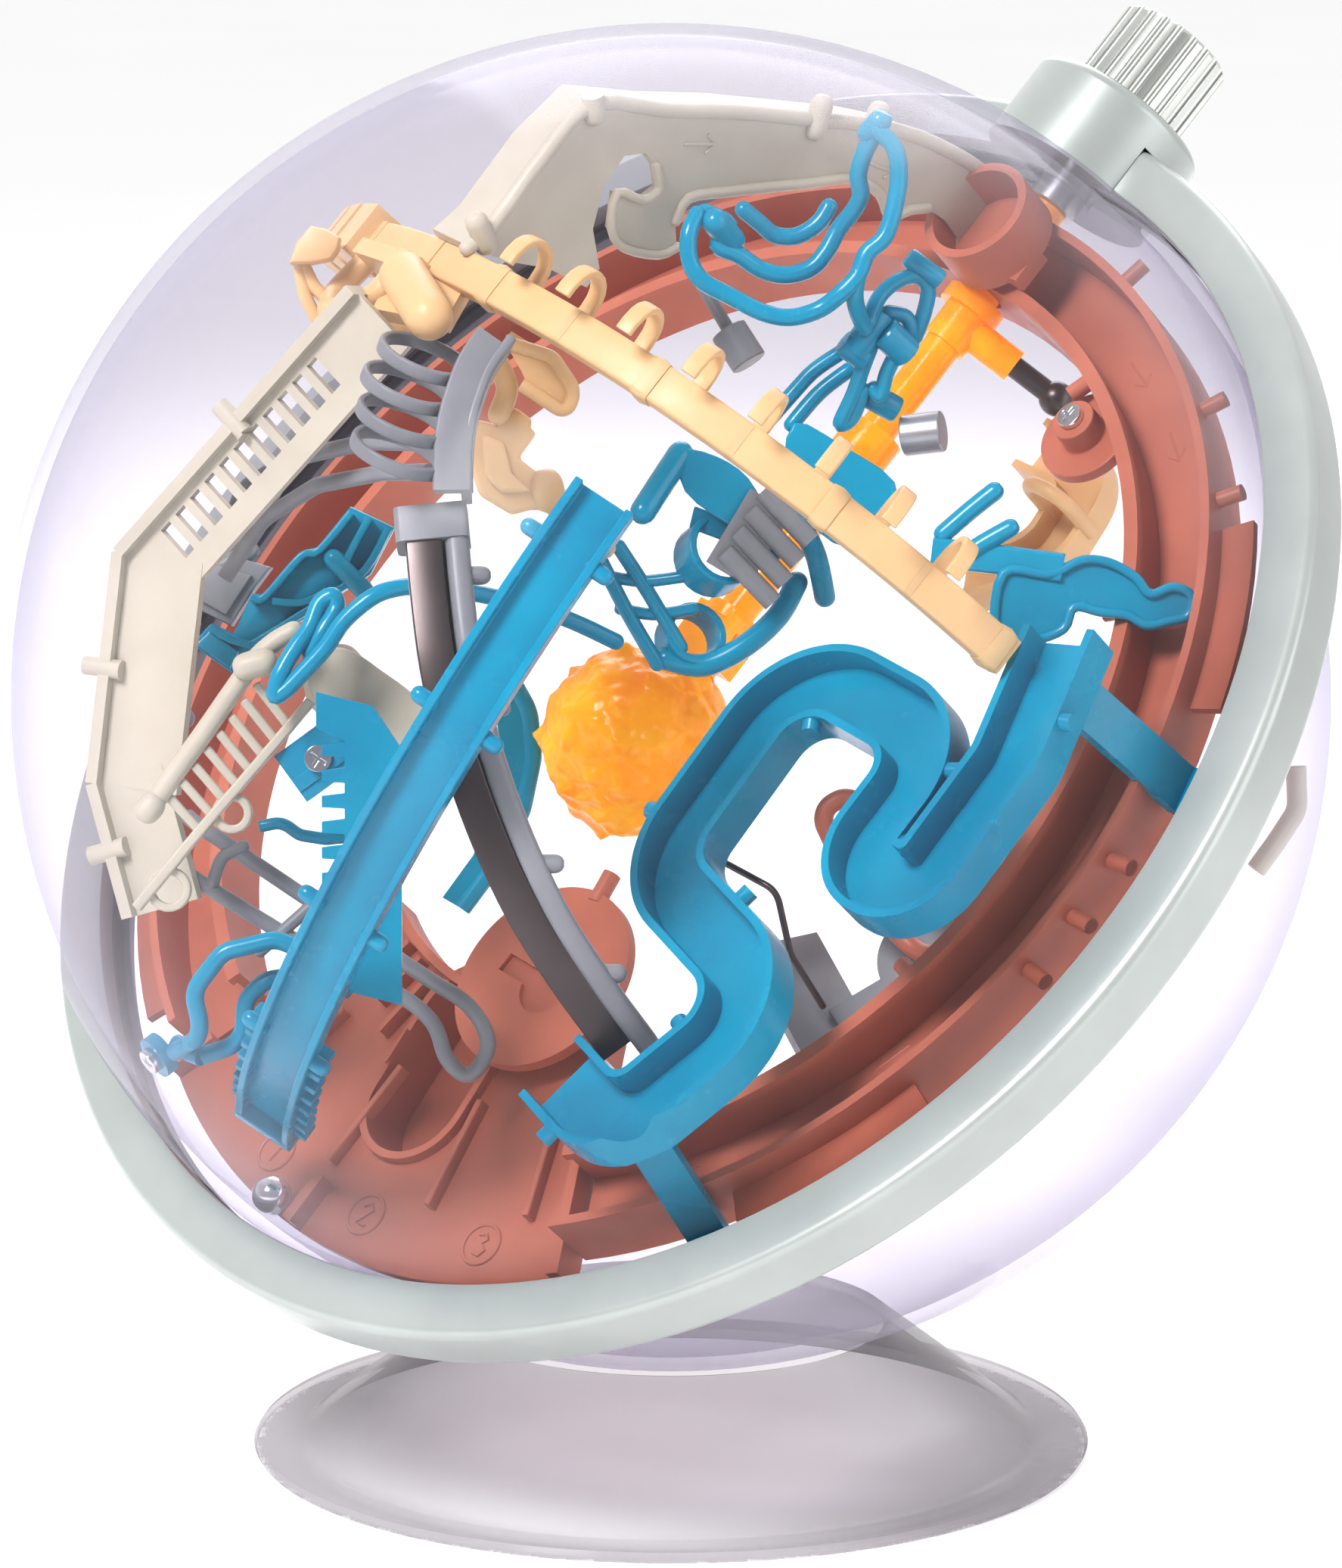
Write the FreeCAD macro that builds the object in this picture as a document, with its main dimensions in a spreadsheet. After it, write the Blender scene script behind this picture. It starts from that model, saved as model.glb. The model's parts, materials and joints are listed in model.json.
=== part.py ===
import FreeCAD, Part
import os
import Sketcher
from math import atan2, cos, pi, radians, sin, sqrt

# A clear globe ball maze on a clear flared stand.
# The globe's parts are drawn in the globe's own frame: its origin is the globe's centre, +Z is the
# band's axis and +X is the dial's axis. One placement, GLOBE, tips that frame over the stand.

Vector = FreeCAD.Vector
doc = FreeCAD.newDocument("tilt_maze_game")
sheet = doc.addObject("Spreadsheet::Sheet", "dims")

DIMENSIONS = [
    ("globe_r", 100.0, "outside radius of the clear globe"),
    ("wall", 2.0, "thickness of the clear shells"),
    ("centre_up", 114.3, "height of the globe's centre over the floor"),
    ("tip", 51.06, "lean of the band's axis from upright, degrees"),
    ("tip_heading", -131.07, "compass heading of that lean, degrees"),
    ("dial_roll", 16.0, "dial's angle round the band from the band's highest point, degrees"),
    ("flange_r", 101.6, "outside radius of the shells' joint flange"),
    ("flange_t", 1.4, "thickness of one shell's joint flange"),
    ("band_r", 108.6, "outside radius of the band"),
    ("band_half", 4.8, "half the band's height"),
    ("band_lip_r", 100.3, "inside radius of the band's lips"),
    ("band_edge", 1.6, "rounding of the band's outer edges"),
    ("hub_r", 14.5, "radius of the dial housing"),
    ("hub_end", 113.5, "dial housing's end from the globe's centre"),
    ("stem_r", 4.0, "radius of the dial's stem"),
    ("stem_fit", 0.05, "radial running clearance of the stem"),
    ("knob_r", 9.3, "radius of the dial's knob"),
    ("knob_start", 113.9, "inner end of the knob from the globe's centre"),
    ("knob_end", 127.5, "outer end of the knob from the globe's centre"),
    ("flute_r", 0.8, "radius of the knob's flutes"),
    ("flutes", 22.0, "number of flutes round the knob"),
    ("shaft_r", 2.9, "radius of the amber shaft"),
    ("boulder_r", 14.2, "radius of the amber boulder"),
    ("boulder_x", -8.4, "boulder's centre along the shaft"),
    ("foot_r", 63.4, "outside radius of the stand's flange"),
    ("crease_r", 55.0, "radius where the stand's cone starts"),
    ("seat_r", 32.4, "radius of the seat at the stand's top"),
    ("seat_up", 19.3, "height of the stand's top"),
    ("sheet_t", 1.6, "thickness of the stand's sheet"),
    ("ring_in", 78.0, "inside radius of the main ring"),
    ("ring_out", 91.6, "outside radius of the main ring"),
    ("ring_wall", 1.4, "thickness of the main ring's walls"),
    ("ring_low", -6.2, "underside of the main ring"),
    ("ring_top", 4.2, "top of the main ring's walls"),
    ("ball_r", 3.0, "radius of the steel ball"),
    ("track_w", 6.0, "half width of the serpentine track over its walls"),
    ("track_wall", 1.2, "wall thickness of the tracks"),
    ("track_low", 19.0, "underside of the serpentine track"),
    ("track_high", 25.0, "top of the serpentine track's walls"),
    ("rail_x", 22.0, "arc rail's distance from the dial side's middle plane"),
    ("rail_r", 84.0, "outer radius of the arc rail, measured in the globe"),
    ("hoop_r", 4.2, "radius of a hoop's middle line"),
    ("hoops", 8.0, "number of hoops on the arc rail"),
    ("wire_r", 1.3, "radius of the bent plastic rods"),
]
for row, (alias, number, words) in enumerate(DIMENSIONS, start=1):
    sheet.set("A%d" % row, words)
    sheet.set("B%d" % row, str(number))
    sheet.setAlias("B%d" % row, alias)
doc.recompute()


def size(alias):
    return float(sheet.get(alias))


def value(expression):
    return float(sheet.evalExpression(expression.replace("dims.", "")))


def globe_placement():
    tip = radians(size("tip"))
    heading = radians(size("tip_heading"))
    roll = radians(size("dial_roll"))
    axis = Vector(sin(tip) * cos(heading), sin(tip) * sin(heading), cos(tip))
    uphill = Vector(-cos(tip) * cos(heading), -cos(tip) * sin(heading), sin(tip))
    across = axis.cross(uphill)
    dial = uphill * cos(roll) - across * sin(roll)
    turn = FreeCAD.Rotation(dial, axis.cross(dial), axis, "ZXY")
    return FreeCAD.Placement(Vector(0, 0, size("centre_up")), turn)


HOME = FreeCAD.Placement()
GLOBE = globe_placement()


# ---- Helpers that make document objects -------------------------------------------------------

PARTS = []


def new_body(label, place=GLOBE):
    body = doc.addObject("PartDesign::Body", label)
    body.Label = label
    body.Placement = place
    PARTS.append(body)
    return body


def new_sketch(body, name, role="XY_Plane", lift=0.0):
    sketch = body.newObject("Sketcher::SketchObject", body.Label + "_" + name)
    for plane in body.Origin.OriginFeatures:
        if plane.Role == role:
            sketch.AttachmentSupport = [(plane, "")]
    sketch.MapMode = "FlatFace"
    sketch.AttachmentOffset = FreeCAD.Placement(Vector(0, 0, lift), FreeCAD.Rotation())
    return sketch


def draw_outline(sketch, corners):
    """Closed outline of lines through corners given as pairs of expressions, each one bound."""
    spots = [Vector(value(x), value(y), 0) for x, y in corners]
    count = len(spots)
    first = sketch.GeometryCount
    for i in range(count):
        sketch.addGeometry(Part.LineSegment(spots[i], spots[(i + 1) % count]))
    for i in range(count):
        sketch.addConstraint(Sketcher.Constraint("Coincident", first + i, 2, first + (i + 1) % count, 1))
    for i, (x, y) in enumerate(corners):
        pin_point(sketch, first + i, 1, x, y)


def pin_point(sketch, shape, end, x, y):
    for kind, text in (("DistanceX", x), ("DistanceY", y)):
        number = sketch.addConstraint(Sketcher.Constraint(kind, -1, 1, shape, end, value(text)))
        sketch.setExpression("Constraints[%d]" % number, text)


def draw_circle(sketch, x, y, radius):
    """Circle whose centre and radius are expressions."""
    centre = Vector(value(x), value(y), 0)
    shape = sketch.addGeometry(Part.Circle(centre, Vector(0, 0, 1), value(radius)))
    number = sketch.addConstraint(Sketcher.Constraint("Radius", shape, value(radius)))
    sketch.setExpression("Constraints[%d]" % number, radius)
    if x == "0" and y == "0":
        sketch.addConstraint(Sketcher.Constraint("Coincident", shape, 3, -1, 1))
    else:
        pin_point(sketch, shape, 3, x, y)


def add_pad(body, sketch, length, both=False):
    pad = body.newObject("PartDesign::Pad", sketch.Label + "_pad")
    pad.Profile = sketch
    pad.SideType = "Symmetric" if both else "One side"
    pad.setExpression("Length", length)
    return pad


def add_pocket(body, sketch, length, both=False, turned=False):
    pocket = body.newObject("PartDesign::Pocket", sketch.Label + "_pocket")
    pocket.Profile = sketch
    pocket.SideType = "Symmetric" if both else "One side"
    pocket.Reversed = turned
    pocket.setExpression("Length", length)
    return pocket


def add_turn(body, sketch, kind="Revolution", axis="V_Axis", angle="360"):
    turn = body.newObject("PartDesign::" + kind, sketch.Label + "_turn")
    turn.Profile = sketch
    turn.ReferenceAxis = (sketch, [axis])
    turn.setExpression("Angle", angle)
    return turn


LOCAL = {}


def add_shape(label, shape, minus=()):
    """A piece whose bent form no sketch feature fits; minus names earlier pieces it makes room for."""
    for other in minus:
        shape = shape.cut(LOCAL[other])
    LOCAL[label] = shape
    piece = doc.addObject("Part::Feature", label)
    piece.Label = label
    piece.Shape = shape
    piece.Placement = GLOBE.multiply(shape.Placement)
    PARTS.append(piece)
    return piece


# ---- Helpers that work out bent shapes in the globe's frame ------------------------------------

def rounded_wire(points, radius, closed=False):
    """Straight runs through the points, joined by tangent arcs of at most the given radius."""
    points = [Vector(*p) for p in points]
    count = len(points)
    corners = range(count) if closed else range(1, count - 1)
    cuts = {}
    for i in corners:
        before = points[i - 1]
        here = points[i]
        after = points[(i + 1) % count]
        back = before - here
        ahead = after - here
        turn = pi - back.getAngle(ahead)
        reach = min(radius * sin(turn / 2) / cos(turn / 2), 0.45 * back.Length, 0.45 * ahead.Length)
        start = here + back.normalize() * reach
        stop = here + ahead.normalize() * reach
        arc_r = reach * cos(turn / 2) / sin(turn / 2)
        inward = ((start + stop) * 0.5 - here).normalize()
        middle = here + inward * (arc_r / cos(turn / 2) - arc_r)
        cuts[i] = (start, middle, stop)
    edges = []
    for i in range(count if closed else count - 1):
        j = (i + 1) % count
        begin = cuts[i][2] if i in cuts else points[i]
        end = cuts[j][0] if j in cuts else points[j]
        if i in cuts:
            edges.append(Part.Arc(*cuts[i]).toShape())
        edges.append(Part.LineSegment(begin, end).toShape())
    return Part.Wire(Part.__sortEdges__(edges))


def rod(points, radius, bend=5.0, closed=False):
    """A round rod bent along the points."""
    path = rounded_wire(points, bend, closed)
    start = path.Edges[0]
    first = start.valueAt(start.FirstParameter)
    along = start.tangentAt(start.FirstParameter)
    section = Part.Wire(Part.makeCircle(radius, first, along))
    return path.makePipeShell([section], True, False)


def bar(start, end, width, thick, facing):
    """A flat bar from start to end; facing points out of its broad side."""
    start = Vector(*start)
    along = Vector(*end) - start
    facing = Vector(*facing)
    turn = FreeCAD.Rotation(along, Vector(), facing, "XZY")
    box = Part.makeBox(along.Length, width, thick, Vector(0, -width / 2, -thick / 2))
    box.Placement = FreeCAD.Placement(start, turn)
    return box


def tube(centre, axis, outer, inner, length):
    """A ring or collar whose bottom face is centred on centre."""
    centre = Vector(*centre)
    axis = Vector(*axis)
    solid = Part.makeCylinder(outer, length, centre, axis)
    return solid.cut(Part.makeCylinder(inner, length, centre, axis)) if inner else solid


def hoop(centre, axis, radius, thick):
    return Part.makeTorus(radius, thick, Vector(*centre), Vector(*axis))


def trough(points, bend, half, wall, low, high):
    """A channel along a level path: a floor with a wall on each side."""
    path = rounded_wire([(x, y, low) for x, y in points], bend)
    outer = Part.Face(path.makeOffset2D(half, join=0, openResult=False))
    inner = Part.Face(path.makeOffset2D(half - wall, join=0, openResult=False))
    body = outer.extrude(Vector(0, 0, high - low))
    hollow = inner.extrude(Vector(0, 0, high - low))
    hollow.translate(Vector(0, 0, wall))
    channel = body.cut(hollow)
    for here, inside in ((points[0], points[1]), (points[-1], points[-2])):
        here = Vector(here[0], here[1], low - 1)
        out = (here - Vector(inside[0], inside[1], low - 1)).normalize()
        block = Part.makeBox(half * 2, half * 4, high - low + 2, Vector(0, -half * 2, 0))
        block.Placement = FreeCAD.Placement(here, FreeCAD.Rotation(Vector(1, 0, 0), out))
        channel = channel.cut(block)
    return channel


def plate(outline, origin, across, facing, thick):
    """A flat plate: outline points lie in the plane through origin, with X along across."""
    turn = FreeCAD.Rotation(Vector(*across), Vector(), Vector(*facing), "ZXY")
    face = Part.Face(Part.makePolygon([Vector(x, y, 0) for x, y in outline + outline[:1]]))
    solid = face.extrude(Vector(0, 0, thick))
    solid.Placement = FreeCAD.Placement(Vector(*origin), turn)
    return solid


LEAN_ACROSS = Vector(0.606, -0.609, -0.511)
LEAN_FACING = Vector(-0.148, -0.718, 0.681)
LEAN_UP = LEAN_FACING.cross(LEAN_ACROSS)


def leaning(x, y, depth):
    """A point of the leaning planes, which several plates and rods lie along."""
    return LEAN_ACROSS * x + LEAN_UP * y + LEAN_FACING * depth


def lean_plate(outline, depth, thick):
    return plate(outline, leaning(0, 0, depth), LEAN_ACROSS, LEAN_FACING, thick)


def lean_rod(points, depth, radius, bend, closed=False):
    return rod([leaning(x, y, depth) for x, y in points], radius, bend, closed)


def arc_section(corners, middle, axis, first_direction, angle):
    """Turn a section, given as (radius, side) corners, through an angle about an axis."""
    axis = Vector(*axis).normalize()
    outward = Vector(*first_direction).normalize()
    middle = Vector(*middle)
    loop = [middle + outward * r + axis * side for r, side in corners + corners[:1]]
    return Part.Face(Part.makePolygon(loop)).revolve(middle, axis, angle)


def joined(shapes):
    whole = shapes[0].fuse(shapes[1:]) if len(shapes) > 1 else shapes[0]
    return whole.removeSplitter()


def largest(shape):
    """The main solid of a shape that a cut has split."""
    return max(shape.Solids, key=lambda solid: solid.Volume)


# ---- Stand --------------------------------------------------------------------------------------

def make_stand():
    """A thin clear sheet: a flat round flange, a crease and a cone up to the seat."""
    body = new_body("stand", HOME)
    profile = new_sketch(body, "profile", "XZ_Plane")
    draw_outline(profile, [
        ("dims.foot_r", "0"),
        ("dims.foot_r", "dims.sheet_t"),
        ("dims.crease_r", "dims.sheet_t"),
        ("dims.seat_r + 1.2", "dims.seat_up"),
        ("dims.seat_r", "dims.seat_up"),
        ("dims.seat_r - 0.6", "dims.seat_up - 1.2"),
        ("dims.crease_r - 1.4", "0"),
    ])
    add_turn(body, profile)


# ---- Globe, band and dial -----------------------------------------------------------------------

def make_shell(label, side):
    """Half of the clear globe, with a thin flange that the band grips and a hole for the stem."""
    body = new_body(label)
    profile = new_sketch(body, "profile", "XZ_Plane")
    outer = size("globe_r")
    inner = outer - size("wall")
    flange = size("flange_r")
    flange_t = size("flange_t")
    low = 0.05
    root = sqrt(outer ** 2 - flange_t ** 2)
    inner_root = sqrt(inner ** 2 - low ** 2)
    centre = Vector(0, 0, 0)
    flip = 1 if side > 0 else -1

    def arc(radius, low_z):
        start = atan2(low_z, sqrt(radius ** 2 - low_z ** 2))
        angles = (start, pi / 2) if flip > 0 else (-pi / 2, -start)
        circle = Part.Circle(centre, Vector(0, 0, 1), radius)
        return Part.ArcOfCircle(circle, *angles)

    def line(x1, y1, x2, y2):
        return Part.LineSegment(Vector(x1, y1 * flip, 0), Vector(x2, y2 * flip, 0))

    profile.addGeometry(arc(outer, flange_t))
    profile.addGeometry(line(0, outer, 0, inner))
    profile.addGeometry(arc(inner, low))
    profile.addGeometry(line(inner_root, low, flange, low))
    profile.addGeometry(line(flange, low, flange, flange_t))
    profile.addGeometry(line(flange, flange_t, root, flange_t))
    add_turn(body, profile)
    doc.recompute()
    hole = new_sketch(body, "stem_hole", "YZ_Plane")
    draw_circle(hole, "0", "0", "dims.stem_r + 1")
    add_pocket(body, hole, "dims.globe_r + 10", turned=True)


def make_band():
    """The metal-look band that clamps both flanges: a ring with an inward groove."""
    body = new_body("band")
    profile = new_sketch(body, "profile", "XZ_Plane")
    draw_outline(profile, [
        ("dims.band_lip_r", "-dims.band_half"),
        ("dims.band_r", "-dims.band_half"),
        ("dims.band_r", "dims.band_half"),
        ("dims.band_lip_r", "dims.band_half"),
        ("dims.band_lip_r", "dims.flange_t + 0.1"),
        ("dims.flange_r + 0.2", "dims.flange_t + 0.1"),
        ("dims.flange_r + 0.2", "-dims.flange_t - 0.1"),
        ("dims.band_lip_r", "-dims.flange_t - 0.1"),
    ])
    turn = add_turn(body, profile)
    doc.recompute()
    edges = outer_circles(turn.Shape, size("band_r"), size("band_half"))
    rounding = body.newObject("PartDesign::Fillet", "band_rounding")
    rounding.Base = (turn, edges)
    rounding.setExpression("Radius", "dims.band_edge")
    doc.recompute()
    hole = new_sketch(body, "stem_hole", "YZ_Plane")
    draw_circle(hole, "0", "0", "dims.stem_r + dims.stem_fit")
    add_pocket(body, hole, "dims.band_r + 10", turned=True)


def outer_circles(shape, radius, height):
    names = []
    for i, edge in enumerate(shape.Edges, start=1):
        box = edge.BoundBox
        if abs(box.XMax - radius) < 0.01 and abs(abs(box.ZMax) - height) < 0.01 and box.ZLength < 0.01:
            names.append("Edge%d" % i)
    return names


def make_hub():
    """The dial housing: a round boss that sits on the globe and straddles the band."""
    body = new_body("dial_housing")
    disc = new_sketch(body, "disc", "YZ_Plane", value("dims.globe_r - 4"))
    draw_circle(disc, "0", "0", "dims.hub_r")
    pad = add_pad(body, disc, "dims.hub_end - dims.globe_r + 4")
    doc.recompute()
    rim = [
        "Edge%d" % i
        for i, edge in enumerate(pad.Shape.Edges, start=1)
        if abs(edge.BoundBox.XMin - size("hub_end")) < 0.01 and edge.BoundBox.XLength < 0.01
    ]
    rounding = body.newObject("PartDesign::Fillet", "hub_rounding")
    rounding.Base = (pad, rim)
    rounding.Radius = 1.8
    doc.recompute()
    ball = new_sketch(body, "globe_room", "XZ_Plane")
    radius = size("globe_r") + 0.1
    circle = Part.Circle(Vector(0, 0, 0), Vector(0, 0, 1), radius)
    ball.addGeometry(Part.ArcOfCircle(circle, -pi / 2, pi / 2))
    ball.addGeometry(Part.LineSegment(Vector(0, radius, 0), Vector(0, -radius, 0)))
    add_turn(body, ball, "Groove")
    doc.recompute()
    room = new_sketch(body, "band_room", "XZ_Plane")
    draw_outline(room, [
        ("dims.globe_r - 6", "-dims.band_half - 0.05"),
        ("dims.band_r + 0.05", "-dims.band_half - 0.05"),
        ("dims.band_r + 0.05", "dims.band_half + 0.05"),
        ("dims.globe_r - 6", "dims.band_half + 0.05"),
    ])
    add_turn(body, room, "Groove")
    doc.recompute()
    hole = new_sketch(body, "stem_hole", "YZ_Plane")
    draw_circle(hole, "0", "0", "dims.stem_r + dims.stem_fit")
    add_pocket(body, hole, "dims.hub_end + 10", turned=True)


def make_knob():
    """The fluted knob and its stem, which runs through the housing into the globe."""
    body = new_body("knob")
    disc = new_sketch(body, "disc", "YZ_Plane", size("knob_start"))
    draw_circle(disc, "0", "0", "dims.knob_r")
    pad = add_pad(body, disc, "dims.knob_end - dims.knob_start")
    doc.recompute()
    rims = [
        "Edge%d" % i
        for i, edge in enumerate(pad.Shape.Edges, start=1)
        if edge.BoundBox.XLength < 0.01
    ]
    bevel = body.newObject("PartDesign::Chamfer", "knob_bevel")
    bevel.Base = (pad, rims)
    bevel.Size = 0.6
    doc.recompute()
    flute = new_sketch(body, "flute", "YZ_Plane", size("knob_start") - 1)
    draw_circle(flute, "dims.knob_r + 0.15", "0", "dims.flute_r")
    cut = add_pocket(body, flute, "dims.knob_end - dims.knob_start + 2", turned=True)
    doc.recompute()
    pattern = body.newObject("PartDesign::PolarPattern", "knob_flutes")
    pattern.Originals = [cut]
    pattern.Axis = (flute, ["N_Axis"])
    pattern.Angle = 360
    pattern.setExpression("Occurrences", "dims.flutes")
    body.Tip = pattern
    doc.recompute()
    stem = new_sketch(body, "stem", "YZ_Plane", size("knob_start") + 0.5)
    draw_circle(stem, "0", "0", "dims.stem_r")
    stem_pad = add_pad(body, stem, "dims.knob_start + 0.5 - 95")
    stem_pad.Reversed = True


CRANK_X = 72.0
CRANK_WAY = Vector(0, -1, -1).normalize()
CRANK_START = 10.5
LUMPS = 26


def make_shaft():
    """The amber shaft, one turned profile with its collars, a side branch and a boulder clip."""
    radius = size("shaft_r")
    steps = [
        (6.0, 3.4), (14.0, 3.4), (14.0, 4.4), (16.0, 4.4), (16.0, radius), (45.0, radius),
        (45.0, 4.6), (51.0, 4.6), (51.0, radius), (68.0, radius), (68.0, 3.6), (74.0, 3.6),
        (74.0, 4.9), (76.6, 4.9), (76.6, radius), (94.8, radius),
    ]
    outline = [Vector(6.0, 0, 0)] + [Vector(x, 0, r) for x, r in steps] + [Vector(94.8, 0, 0)]
    face = Part.Face(Part.makePolygon(outline + outline[:1]))
    turned = face.revolve(Vector(0, 0, 0), Vector(1, 0, 0), 360)
    branch = Part.makeCylinder(2.6, CRANK_START, Vector(CRANK_X, 0, 0), CRANK_WAY)
    clip = Part.makeBox(8.0, 9.0, 7.0, Vector(7.0, -4.5, -3.5))
    window = Part.makeBox(4.0, 12.0, 3.4, Vector(9.0, -6.0, -1.7))
    return add_shape("amber_shaft", joined([turned, branch, clip]).cut(window))


def make_boulder():
    """The amber boulder, a lumpy ball on the shaft's end; its lumps are small balls."""
    radius = size("boulder_r")
    middle = Vector(size("boulder_x"), 0, 0)
    solid = Part.makeSphere(radius, middle)
    golden = pi * (3 - sqrt(5))
    for i in range(LUMPS):
        up = 1 - 2 * (i + 0.5) / LUMPS
        across = sqrt(1 - up * up)
        way = Vector(across * cos(golden * i), across * sin(golden * i), up)
        if way.x < 0.8:
            solid = solid.fuse(Part.makeSphere(3.0, middle + way * (radius - 2.2)))
    return add_shape("boulder", solid)


def make_crank():
    """The dark pin that stands in the shaft's branch, with a round weight on its end."""
    start = Vector(CRANK_X, 0, 0) + CRANK_WAY * CRANK_START
    pin = Part.makeCylinder(1.7, 6.5, start, CRANK_WAY)
    weight = Part.makeSphere(2.7, start + CRANK_WAY * 8.0)
    return add_shape("crank_pin", joined([pin, weight]))


# ---- Terracotta pieces --------------------------------------------------------------------------

START_ANGLES = (155.0, 213.0)
PLATFORM_TOP = -4.75


def make_main_ring():
    """The channel that runs round inside the band, open where the start platform lies."""
    low = size("ring_low")
    top = size("ring_top")
    wall = size("ring_wall")
    inner = size("ring_in")
    outer = size("ring_out")
    section = [
        (inner, low), (outer, low), (outer, top), (outer - wall, top),
        (outer - wall, low + 1.6), (inner + wall, low + 1.6), (inner + wall, top), (inner, top),
    ]
    bead_in = inner + wall
    bead_out = bead_in + 0.8
    bead = [(bead_in, top - 1.5), (bead_out, top - 1.5), (bead_out, top), (bead_in, top)]
    sweep = 360 - (START_ANGLES[1] - START_ANGLES[0]) - 1.0
    start = radians(START_ANGLES[1] + 0.5)
    first = (cos(start), sin(start), 0)
    pieces = [
        arc_section(section, (0, 0, 0), (0, 0, 1), first, sweep),
        arc_section(bead, (0, 0, 0), (0, 0, 1), first, sweep),
    ]
    for begin, end in ((231, 250), (292, 311), (20, 48), (64, 100), (118, 150)):
        pieces.append(ring_skirt(outer - 0.3, 96.6, -1.2, begin, end))
    for angle in (264, 270, 276, 314, 325, 345, 10, 56, 108):
        pieces.append(radial_peg(outer - 0.5, 95.4, 1.2, angle, 0.8))
    for angle in (222, 256, 286, 303, 336):
        pieces.append(radial_peg(inner + 0.5, inner - 3.2, 1.3, angle, 2.2))
    shaft_room = Part.makeCylinder(size("shaft_r") + 0.6, 30, Vector(70, 0, 0), Vector(1, 0, 0))
    return add_shape("main_ring", joined(pieces).cut(shaft_room))


def ring_skirt(inner, outer, low, begin, end):
    section = [(inner, low), (outer, low), (outer, low + 1.3), (inner, low + 1.3)]
    first = (cos(radians(begin)), sin(radians(begin)), 0)
    return arc_section(section, (0, 0, 0), (0, 0, 1), first, end - begin)


def radial_peg(near, far, radius, angle, height):
    way = Vector(cos(radians(angle)), sin(radians(angle)), 0)
    start = way * near + Vector(0, 0, height)
    length = far - near
    return Part.makeCylinder(radius, abs(length), start, way if length > 0 else way * -1)


def sector(inner, outer, begin, end, low, high):
    section = [(inner, low), (outer, low), (outer, high), (inner, high)]
    first = (cos(radians(begin)), sin(radians(begin)), 0)
    return arc_section(section, (0, 0, 0), (0, 0, 1), first, end - begin)


def make_platform():
    """The start platform: a shelf out to the shell with a long basin, ribs and a low rim."""
    begin, end = START_ANGLES
    top = PLATFORM_TOP
    shelf = sector(52, 96.4, begin, end, top - 1.8, top)
    rim = sector(52, 53.4, begin, end, top - 1.8, top + 3.5)
    side = sector(53, 96.0, end - 1.2, end, top - 1.8, top + 3.5)
    stop = sector(88, 96.2, 180.0, 181.2, top - 0.5, top + 3.0)
    far = sector(88, 96.2, begin, begin + 0.9, top - 0.5, top + 3.0)
    basin = basin_block(9.8, top - 9.5, top)
    hollow = basin_block(8.6, top - 8.2, top + 3)
    lip = basin_block(9.8, top - 1, top + 1.6)
    ribs = []
    for i in range(4):
        rib = 163 + 4.5 * i
        ribs.append(sector(54, 60 + 3 * i, rib, rib + 0.9, top - 0.5, top + 2.4))
    solid = joined([shelf, rim, side, stop, far, basin, lip] + ribs).cut(hollow)
    return add_shape("start_platform", solid)


def basin_block(radius, low, high):
    """An upright block with round ends over the basin's line."""
    ends = (Vector(-71, -6, low), Vector(-57, -4, low))
    tall = high - low
    caps = [Part.makeCylinder(radius, tall, end) for end in ends]
    along = ends[1] - ends[0]
    middle = Part.makeBox(along.Length, radius * 2, tall, Vector(0, -radius, 0))
    middle.Placement = FreeCAD.Placement(ends[0], FreeCAD.Rotation(Vector(1, 0, 0), along))
    return joined(caps + [middle])


def make_keyhole_disc():
    """A round plate beside the platform, with a keyhole recess, a rim tab and a lug."""
    middle = Vector(-46, -15, -1.2)
    disc = Part.makeCylinder(15.0, 1.8, middle)
    recess = joined([
        Part.makeCylinder(4.5, 2.0, middle + Vector(-1, -2, 1.0)),
        Part.makeBox(3.0, 9.0, 2.0, middle + Vector(-2.5, -1, 1.0)),
    ])
    tab = Part.makeCylinder(1.4, 5.0, middle + Vector(13.5, 1.0, 1.0), Vector(1, 0.2, 0))
    return add_shape("keyhole_disc", joined([disc, tab]).cut(recess))


def make_hub_cup():
    """The round cup beside the dial, on a saddle that bridges the shaft."""
    low = 6.2
    cup = tube((84.5, -3, low), (0, 0, 1), 8.6, 7.2, 8.5)
    floor = tube((84.5, -3, low), (0, 0, 1), 8.0, 0, 1.5)
    legs = [
        Part.makeBox(6.0, 2.2, 13.0, Vector(79.5, -11.4, low - 12.0)),
        Part.makeBox(6.0, 2.2, 13.0, Vector(79.5, 3.2 + 1.6, low - 12.0)),
    ]
    foot = [
        Part.makeBox(6.0, 13.0, 2.0, Vector(79.5, -23.0, low - 12.0)),
        Part.makeBox(6.0, 13.0, 2.0, Vector(79.5, 5.0, low - 12.0)),
    ]
    ring_room = sector(77.9, 98.0, -40, 40, -40, 4.4)
    return add_shape("dial_cup", joined([cup, floor] + legs + foot).cut(ring_room))


def make_screw_boss():
    """A screw boss on a round pad inside the ring."""
    middle = Vector(64.5, -35.5, -2)
    pad = Part.makeCylinder(7.4, 2.0, middle)
    post = Part.makeCylinder(3.4, 6.0, middle)
    hole = Part.makeCylinder(1.5, 5.0, middle + Vector(0, 0, 2.0))
    return add_shape("screw_boss", largest(joined([pad, post]).cut(hole).cut(ring_cutter())))


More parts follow.
